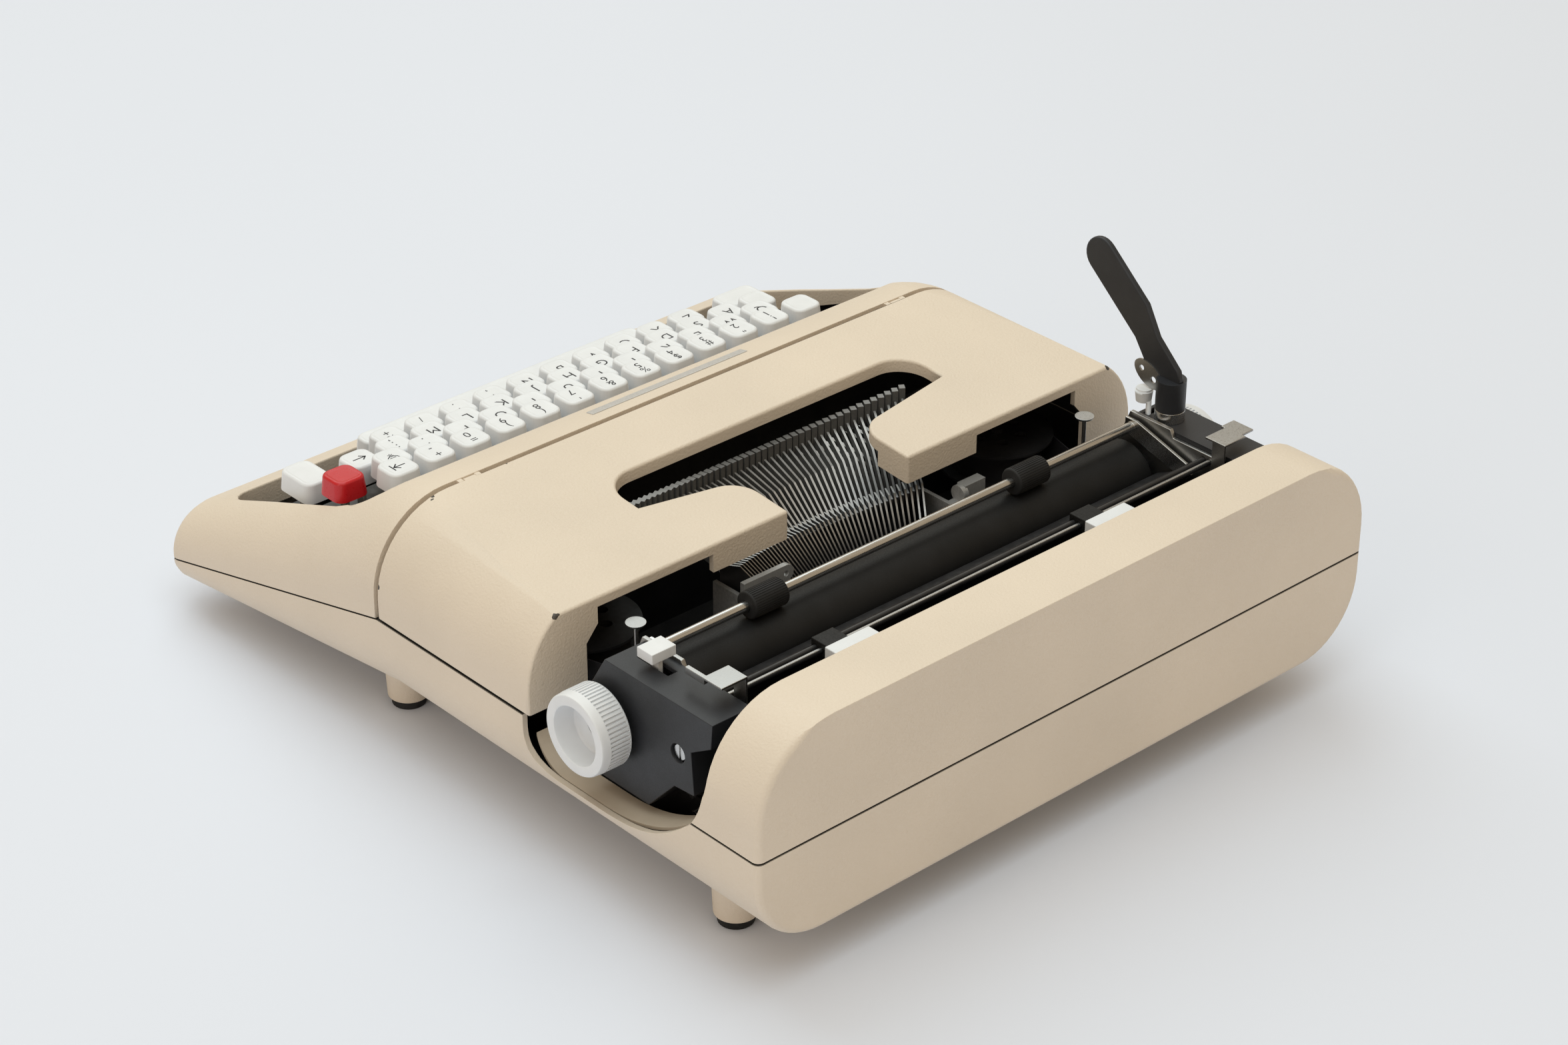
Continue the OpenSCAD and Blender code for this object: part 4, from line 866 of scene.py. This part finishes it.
def add_cap(mesh, centre, width, depth):
    """One key cap: a tapered rounded block with a finger dish."""
    look = settings()
    made = bmesh.ops.create_cube(mesh, size=1)["verts"]
    bmesh.ops.scale(mesh, vec=(width, depth, CAP_HEIGHT), verts=made)
    bmesh.ops.translate(mesh, vec=centre - Vector((0, 0, CAP_HEIGHT / 2)), verts=made)
    upright = [edge for vert in made for edge in vert.link_edges
               if abs(edge.verts[0].co.z - edge.verts[1].co.z) > CAP_HEIGHT / 2]
    rounded = bevel(mesh, list(set(upright)), look.key_corner, steps=5)
    around = {vert for face in rounded["faces"] for vert in face.verts}
    top = [vert for vert in around if vert.co.z > centre.z - 1e-6]
    draw_in = (1 - look.key_taper) * LETTER_CAP_WIDTH
    bmesh.ops.scale(
        mesh, vec=(1 - draw_in / width, 1 - draw_in / depth, 1), verts=top, space=Matrix.Translation(-centre))
    crown = max((face for vert in top for face in vert.link_faces), key=lambda face: face.normal.z)
    rim = bevel(mesh, list(crown.edges), 1.2 * MM, steps=3)
    crown = max(
        (face for vert in {v for f in rim["faces"] for v in f.verts} for face in vert.link_faces),
        key=lambda face: (round(face.normal.z, 4), face.calc_area()))
    dish_rings = ((0.5 * MM, 0.4), (0.7 * MM, 0.6))
    for ring, share in dish_rings:
        bmesh.ops.inset_region(mesh, faces=[crown], thickness=ring, depth=-look.key_dish * share,
                               use_even_offset=True, use_boundary=True)


def key_stems(node, foot):
    """The steel below the caps of a key node, cut from its solid."""
    mesh = node_copy(node)
    below_cap = 0.03 * MM
    cut = bmesh.ops.bisect_plane(
        mesh, geom=mesh.verts[:] + mesh.edges[:] + mesh.faces[:], dist=1e-7,
        plane_co=(0, 0, foot - below_cap), plane_no=(0, 0, 1), clear_outer=True)["geom_cut"]
    bmesh.ops.holes_fill(mesh, edges=[item for item in cut if isinstance(item, bmesh.types.BMEdge)], sides=0)
    return mesh


class TYPEWRITER_OT_keyboard(bpy.types.Operator):
    """Key caps with dished tops on steel stems"""

    bl_idname = "typewriter.keyboard"
    bl_label = "Keyboard"

    def execute(self, context):
        for node in key_nodes:
            caps = cap_places(node)
            mesh = key_stems(node, min(cap[0].z for cap in caps) - CAP_HEIGHT)
            for face in mesh.faces:
                face.material_index = 1
            stems = set(mesh.faces)
            for centre, width, depth in caps:
                add_cap(mesh, centre, width, depth)
            for face in mesh.faces:
                if face not in stems:
                    face.material_index = 0
            colour = "red" if node == "red_key" else "white"
            make_piece(mesh, node + "_capped", body_of(node), [finish(colour), finish("steel")],
                       (node,))
        return {"FINISHED"}


def add_word(mesh, text, size, place):
    """Flat letters at a place, read from the typist's side."""
    curve = bpy.data.curves.new("letters", "FONT")
    curve.body = text
    curve.size = size
    curve.align_x = "CENTER"
    curve.align_y = "CENTER"
    curve.extrude = 0.05 * MM
    curve.resolution_u = 3
    holder = bpy.data.objects.new("letters", curve)
    bpy.context.scene.collection.objects.link(holder)
    view = bpy.context.evaluated_depsgraph_get()
    data = bpy.data.meshes.new_from_object(holder.evaluated_get(view))
    data.transform(Matrix.Translation(place))
    mesh.from_mesh(data)
    bpy.data.objects.remove(holder)
    bpy.data.curves.remove(curve)
    bpy.data.meshes.remove(data)


def add_stroke(mesh, start, end, width):
    """Thin flat bar between two places, as part of a drawn sign."""
    thickness = 0.1 * MM
    made = bmesh.ops.create_cube(mesh, size=1)["verts"]
    bmesh.ops.scale(mesh, vec=((end - start).length + width, width, thickness), verts=made)
    turn = Matrix.Rotation(math.atan2(end.y - start.y, end.x - start.x), 4, "Z")
    bmesh.ops.transform(mesh, matrix=Matrix.Translation((start + end) / 2) @ turn, verts=made)


class TYPEWRITER_OT_legends(bpy.types.Operator):
    """Printed letters, digits and signs on the key caps"""

    bl_idname = "typewriter.legends"
    bl_label = "Legends"

    def execute(self, context):
        look = settings()
        pair_size = look.legend_size * 0.82
        pair_shift = Vector((0, 2.5 * MM, 0))
        letter_shift = Vector((-0.8 * MM, 0.9 * MM, 0))
        dish = Vector((0, 0, look.key_dish))
        for node, legends in row_legends.items():
            caps = cap_places(node)
            if len(caps) != len(legends):
                raise RuntimeError("legends and caps of %s differ" % node)
            mesh = bmesh.new()
            for (centre, _, _), legend in zip(caps, legends):
                spot = centre - dish
                signs = legend.split()
                if len(signs) == 1:
                    add_word(mesh, signs[0], look.legend_size, spot + letter_shift)
                elif signs:
                    add_word(mesh, signs[0], pair_size, spot - pair_shift)
                    add_word(mesh, signs[1], pair_size, spot + pair_shift)
            make_piece(mesh, node + "_legends", body_of(node), [finish("ink")], even=False)
        for name, (node, strokes) in drawn_signs.items():
            spot = cap_places(node)[0][0] - dish
            mesh = bmesh.new()
            for stroke in strokes:
                start, end = (spot + Vector((x * MM, y * MM, 0)) for x, y in stroke)
                add_stroke(mesh, start, end, 0.6 * MM)
            make_piece(mesh, name, body_of(node), [finish("ink")], even=False)
        return {"FINISHED"}


# Carriage

class TYPEWRITER_OT_carriage(bpy.types.Operator):
    """Carriage bed, rack, paper table, end caps, screws, margin rail and stops, button and tabs"""

    bl_idname = "typewriter.carriage"
    bl_label = "Carriage"

    def execute(self, context):
        plate_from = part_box("platen")[1][0] + 3 * MM
        softened("carriage_frame", [finish("enamel"), finish("steel")], 0.3 * MM,
                 paint=lambda face: 1 if abs(face.calc_center_median().x) > plate_from else 0)
        finish_node("escapement_rack", finish("steel"))
        finish_node("paper_table", finish("enamel"))
        rail_y = middle("margin_rail").y
        # The upward faces of the rail's rear rod are steel on black enamel: a painted highlight along the top
        # of the rod
        dressed("margin_rail", [finish("enamel"), finish("steel")],
                lambda face: 1 if face.normal.z > 0.8 and face.calc_center_median().y > rail_y else 0)
        softened("cap_screws", [finish("bright")], 0.12 * MM)
        inner_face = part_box("end_cap_right")[0][0] + 0.1 * MM
        for node in ("end_cap_left", "end_cap_right"):
            softened(node, [finish("charcoal")], 0.9 * MM, 3,
                     where=lambda spot, edge: abs(spot.x) > inner_face)
        clip_y = at(0, -48.6, 0).y

        def clip(face):
            y = face.calc_center_median().y
            return 1 if y < clip_y and face.normal.z < 0.5 or y < clip_y - 1 * MM else 0

        for node in ("margin_stop_left", "margin_stop_right"):
            softened(node, [finish("white"), finish("platen_rubber")], 0.5 * MM, 3, paint=clip)
        softened("line_selector", [finish("white")], 0.5 * MM, 3)
        tab_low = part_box("line_lock_tab")[1][2] - 7 * MM
        softened("line_lock_tab", [finish("white")], 0.5 * MM, 3, where=lambda spot, edge: spot.z > tab_low)
        for node in ("paper_release_tab", "carriage_release_tab"):
            softened(node, [finish("steel")], 0.25 * MM)
        return {"FINISHED"}


# Outline of a knob's rim and of its dish, from the inner end outwards and back, in millimetres:
# distance along the shaft, and depth below the rim's or the dish's radius
knob_rim = (
    (0, 1.2), (0.5, 0.4), (1.2, 0), (10.8, 0), (11.1, 0.1), (13.9, 0.3), (14.7, 0.7), (15, 1.4),
)
knob_dish = ((15, -0.9), (14.7, -0.2), (14.2, 0), (6, 0.6), (5.2, 1.2), (5, 2))


class TYPEWRITER_OT_platen(bpy.types.Operator):
    """Platen with its shaft, ribbed knobs, ratchet and feed rollers"""

    bl_idname = "typewriter.platen"
    bl_label = "Platen"

    def execute(self, context):
        softened("platen", [finish("platen_rubber")], 0.7 * MM, 3)
        finish_node("platen_shaft", finish("bright"))
        finish_node("ratchet_wheel", finish("steel"))
        for node in ("front_feed_roller", "rear_feed_roller"):
            finish_node(node, finish("rubber"))
        ribs = settings().knob_ribs
        bore = 4 * MM
        for node, side in (("knob_left", -1), ("knob_right", 1)):
            low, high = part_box(node)
            inner = low[0] if side > 0 else high[0]
            centre = middle(node)
            radius = half_height(node)
            dish = radius - 5.1 * MM
            profile = [(0, bore)]
            profile += [(x * MM, radius - drop * MM) for x, drop in knob_rim]
            profile += [(x * MM, dish - drop * MM) for x, drop in knob_dish]
            profile += [(profile[-1][0], bore)]
            mesh = turned([(inner + side * x, r) for x, r in profile], centre, ribs * 2)
            x_from, x_to = sorted((inner + side * 1.2 * MM, inner + side * 10.9 * MM))
            rib(mesh, centre, x_from, x_to, radius, ribs, depth=0.8 * MM)
            make_piece(mesh, node + "_ribbed", body_of(node), [finish("white")], (node,))
        return {"FINISHED"}


class TYPEWRITER_OT_paper_bail(bpy.types.Operator):
    """Paper bail with its two ribbed rollers"""

    bl_idname = "typewriter.paper_bail"
    bl_label = "Paper bail"

    def execute(self, context):
        softened("paper_bail", [finish("bright")], 0.25 * MM)
        ribs = 36
        bore = 2.27 * MM
        for node in ("bail_roller_left", "bail_roller_right"):
            low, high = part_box(node)
            centre = middle(node)
            radius = half_height(node)
            length = high[0] - low[0]
            profile = [
                (0, bore), (0, radius - 0.9 * MM), (0.3 * MM, radius - 0.3 * MM), (0.9 * MM, radius),
                (length - 0.9 * MM, radius), (length - 0.3 * MM, radius - 0.3 * MM),
                (length, radius - 0.9 * MM), (length, bore)]
            mesh = turned([(low[0] + x, r) for x, r in profile], centre, ribs * 2)
            rib(mesh, centre, low[0] + 1 * MM, high[0] - 1 * MM, radius, ribs, depth=0.25 * MM)
            make_piece(mesh, node + "_ribbed", body_of(node), [finish("rubber")], (node,))
        return {"FINISHED"}


# The lever's link and its two holes, in millimetres: place along the link, half length and half height
link_ovals = ((0, 8.6, 5.2), (-4.2, 1.3, 1.3), (3.4, 1.5, 1.5))


class TYPEWRITER_OT_return_lever(bpy.types.Operator):
    """Return lever on its post, with the pierced link at its root"""

    bl_idname = "typewriter.return_lever"
    bl_label = "Return lever"

    def execute(self, context):
        hub_top = at(0, 0, 54.8).z
        softened("return_lever", [finish("charcoal")], 0.9 * MM, 3, where=lambda spot, edge: spot.z > hub_top)
        softened("lever_post", [finish("bright")], 0.3 * MM)
        link = bmesh.new()
        link_x = middle("lever_post").x + 2.1 * MM
        hub = at(-145, -100.6, 52.3)
        slant = math.radians(-26)
        for along, half_length, half_rise in link_ovals:
            oval = bmesh.ops.create_circle(link, cap_ends=False, segments=28, radius=1)["verts"]
            bmesh.ops.scale(link, vec=(half_length * MM, half_rise * MM, 1), verts=oval)
            bmesh.ops.translate(link, vec=(along * MM, 0, 0), verts=oval)
        bmesh.ops.triangle_fill(link, use_beauty=True, edges=link.edges)
        bmesh.ops.recalc_face_normals(link, faces=link.faces)
        bmesh.ops.solidify(link, geom=link.faces[:], thickness=0.9 * MM)
        upright = Matrix(((0, 0, 1, 0), (1, 0, 0, 0), (0, 1, 0, 0), (0, 0, 0, 1)))
        tilt = Matrix.Rotation(slant, 4, "X")
        place = Matrix.Translation((link_x, hub.y, hub.z))
        bmesh.ops.transform(link, matrix=place @ tilt @ upright, verts=link.verts)
        bmesh.ops.recalc_face_normals(link, faces=link.faces)
        make_piece(link, "lever_link", body_of("return_lever"), [finish("steel")])
        return {"FINISHED"}


# Stage

FLOOR_HALF = 5
AIR_COLOUR = (1, 0.80, 0.56, 1)
AIR_STRENGTH = 0.5
COOL_WHITE = (0.84, 0.96, 1)
WARM_WHITE = (1, 0.98, 0.96)
LAMP_TARGET = Vector((0, 0, 0.05))
# Name, place and width in metres, power in watts, and colour of each lamp
lamps = (
    ("front_window", (-0.6, -1.6, 2.4), 2.6, 36, COOL_WHITE),
    ("top_panel", (0.4, 0.5, 2.6), 2.4, 30, COOL_WHITE),
    ("side_panel", (1.7, 0.5, 0.8), 1.2, 4, WARM_WHITE),
)
CAMERA_PLACE = (0.8807, 0.9970, 0.8291)
CAMERA_AIM = (-0.580, -0.642, -0.501)


def aimed(direction):
    """Turn that points a lamp or a camera along a direction."""
    return Vector(direction).to_track_quat("-Z", "Y").to_euler()


class TYPEWRITER_OT_stage(bpy.types.Operator):
    """Pale floor, soft light and the camera"""

    bl_idname = "typewriter.stage"
    bl_label = "Studio"

    def execute(self, context):
        scene = context.scene
        scene.view_settings.view_transform = "Standard"
        floor_mesh = bmesh.new()
        bmesh.ops.create_grid(floor_mesh, x_segments=2, y_segments=2, size=FLOOR_HALF)
        data = bpy.data.meshes.new("studio_floor")
        floor_mesh.to_mesh(data)
        floor_mesh.free()
        colour = tuple(settings().floor_colour)
        material, tree, shader, place = start_finish("studio floor", colour, rough=0.85)
        cloud = grain(tree, place, scale=1.2, detail=2)
        tint(tree, shader, cloud, shaded(colour, 0.985), shaded(colour, 1.01))
        data.materials.append(material)
        floor = bpy.data.objects.new("studio_floor", data)
        scene.collection.objects.link(floor)
        world = bpy.data.worlds.new("studio air")
        world.use_nodes = True
        air = world.node_tree.nodes["Background"]
        air.inputs["Color"].default_value = AIR_COLOUR
        air.inputs["Strength"].default_value = AIR_STRENGTH
        scene.world = world
        for name, spot, size, power, light in lamps:
            lamp = bpy.data.lights.new(name, "AREA")
            lamp.size = size
            lamp.energy = power
            lamp.color = light
            holder = bpy.data.objects.new(name, lamp)
            holder.location = spot
            holder.rotation_euler = aimed(LAMP_TARGET - Vector(spot))
            scene.collection.objects.link(holder)
        lens = bpy.data.cameras.new("photo_camera")
        lens.lens = 82.4
        lens.sensor_width = 36
        camera = bpy.data.objects.new("photo_camera", lens)
        camera.location = CAMERA_PLACE
        camera.rotation_euler = aimed(CAMERA_AIM)
        scene.collection.objects.link(camera)
        scene.camera = camera
        return {"FINISHED"}


class TYPEWRITER_PT_panel(bpy.types.Panel):
    """Buttons that dress the typewriter, and its settings"""

    bl_idname = "TYPEWRITER_PT_panel"
    bl_label = "Typewriter"
    bl_space_type = "VIEW_3D"
    bl_region_type = "UI"
    bl_category = "Typewriter"

    def draw(self, context):
        for operator in operators:
            self.layout.operator(operator.bl_idname)
        for name in TypewriterSettings.__annotations__:
            self.layout.prop(context.scene.typewriter, name)


operators = (
    TYPEWRITER_OT_casing, TYPEWRITER_OT_linings, TYPEWRITER_OT_inner_works, TYPEWRITER_OT_type_basket,
    TYPEWRITER_OT_keyboard, TYPEWRITER_OT_legends, TYPEWRITER_OT_carriage, TYPEWRITER_OT_platen,
    TYPEWRITER_OT_paper_bail, TYPEWRITER_OT_return_lever, TYPEWRITER_OT_stage,
)
classes = (TypewriterSettings, *operators, TYPEWRITER_PT_panel)


def register():
    for item in classes:
        bpy.utils.register_class(item)
    bpy.types.Scene.typewriter = PointerProperty(type=TypewriterSettings)


def unregister():
    del bpy.types.Scene.typewriter
    for item in reversed(classes):
        bpy.utils.unregister_class(item)


def main():
    register()
    bpy.ops.typewriter.casing()
    bpy.ops.typewriter.linings()
    bpy.ops.typewriter.inner_works()
    bpy.ops.typewriter.type_basket()
    bpy.ops.typewriter.keyboard()
    bpy.ops.typewriter.legends()
    bpy.ops.typewriter.carriage()
    bpy.ops.typewriter.platen()
    bpy.ops.typewriter.paper_bail()
    bpy.ops.typewriter.return_lever()
    bpy.ops.typewriter.stage()


if __name__ == "__main__":
    main()
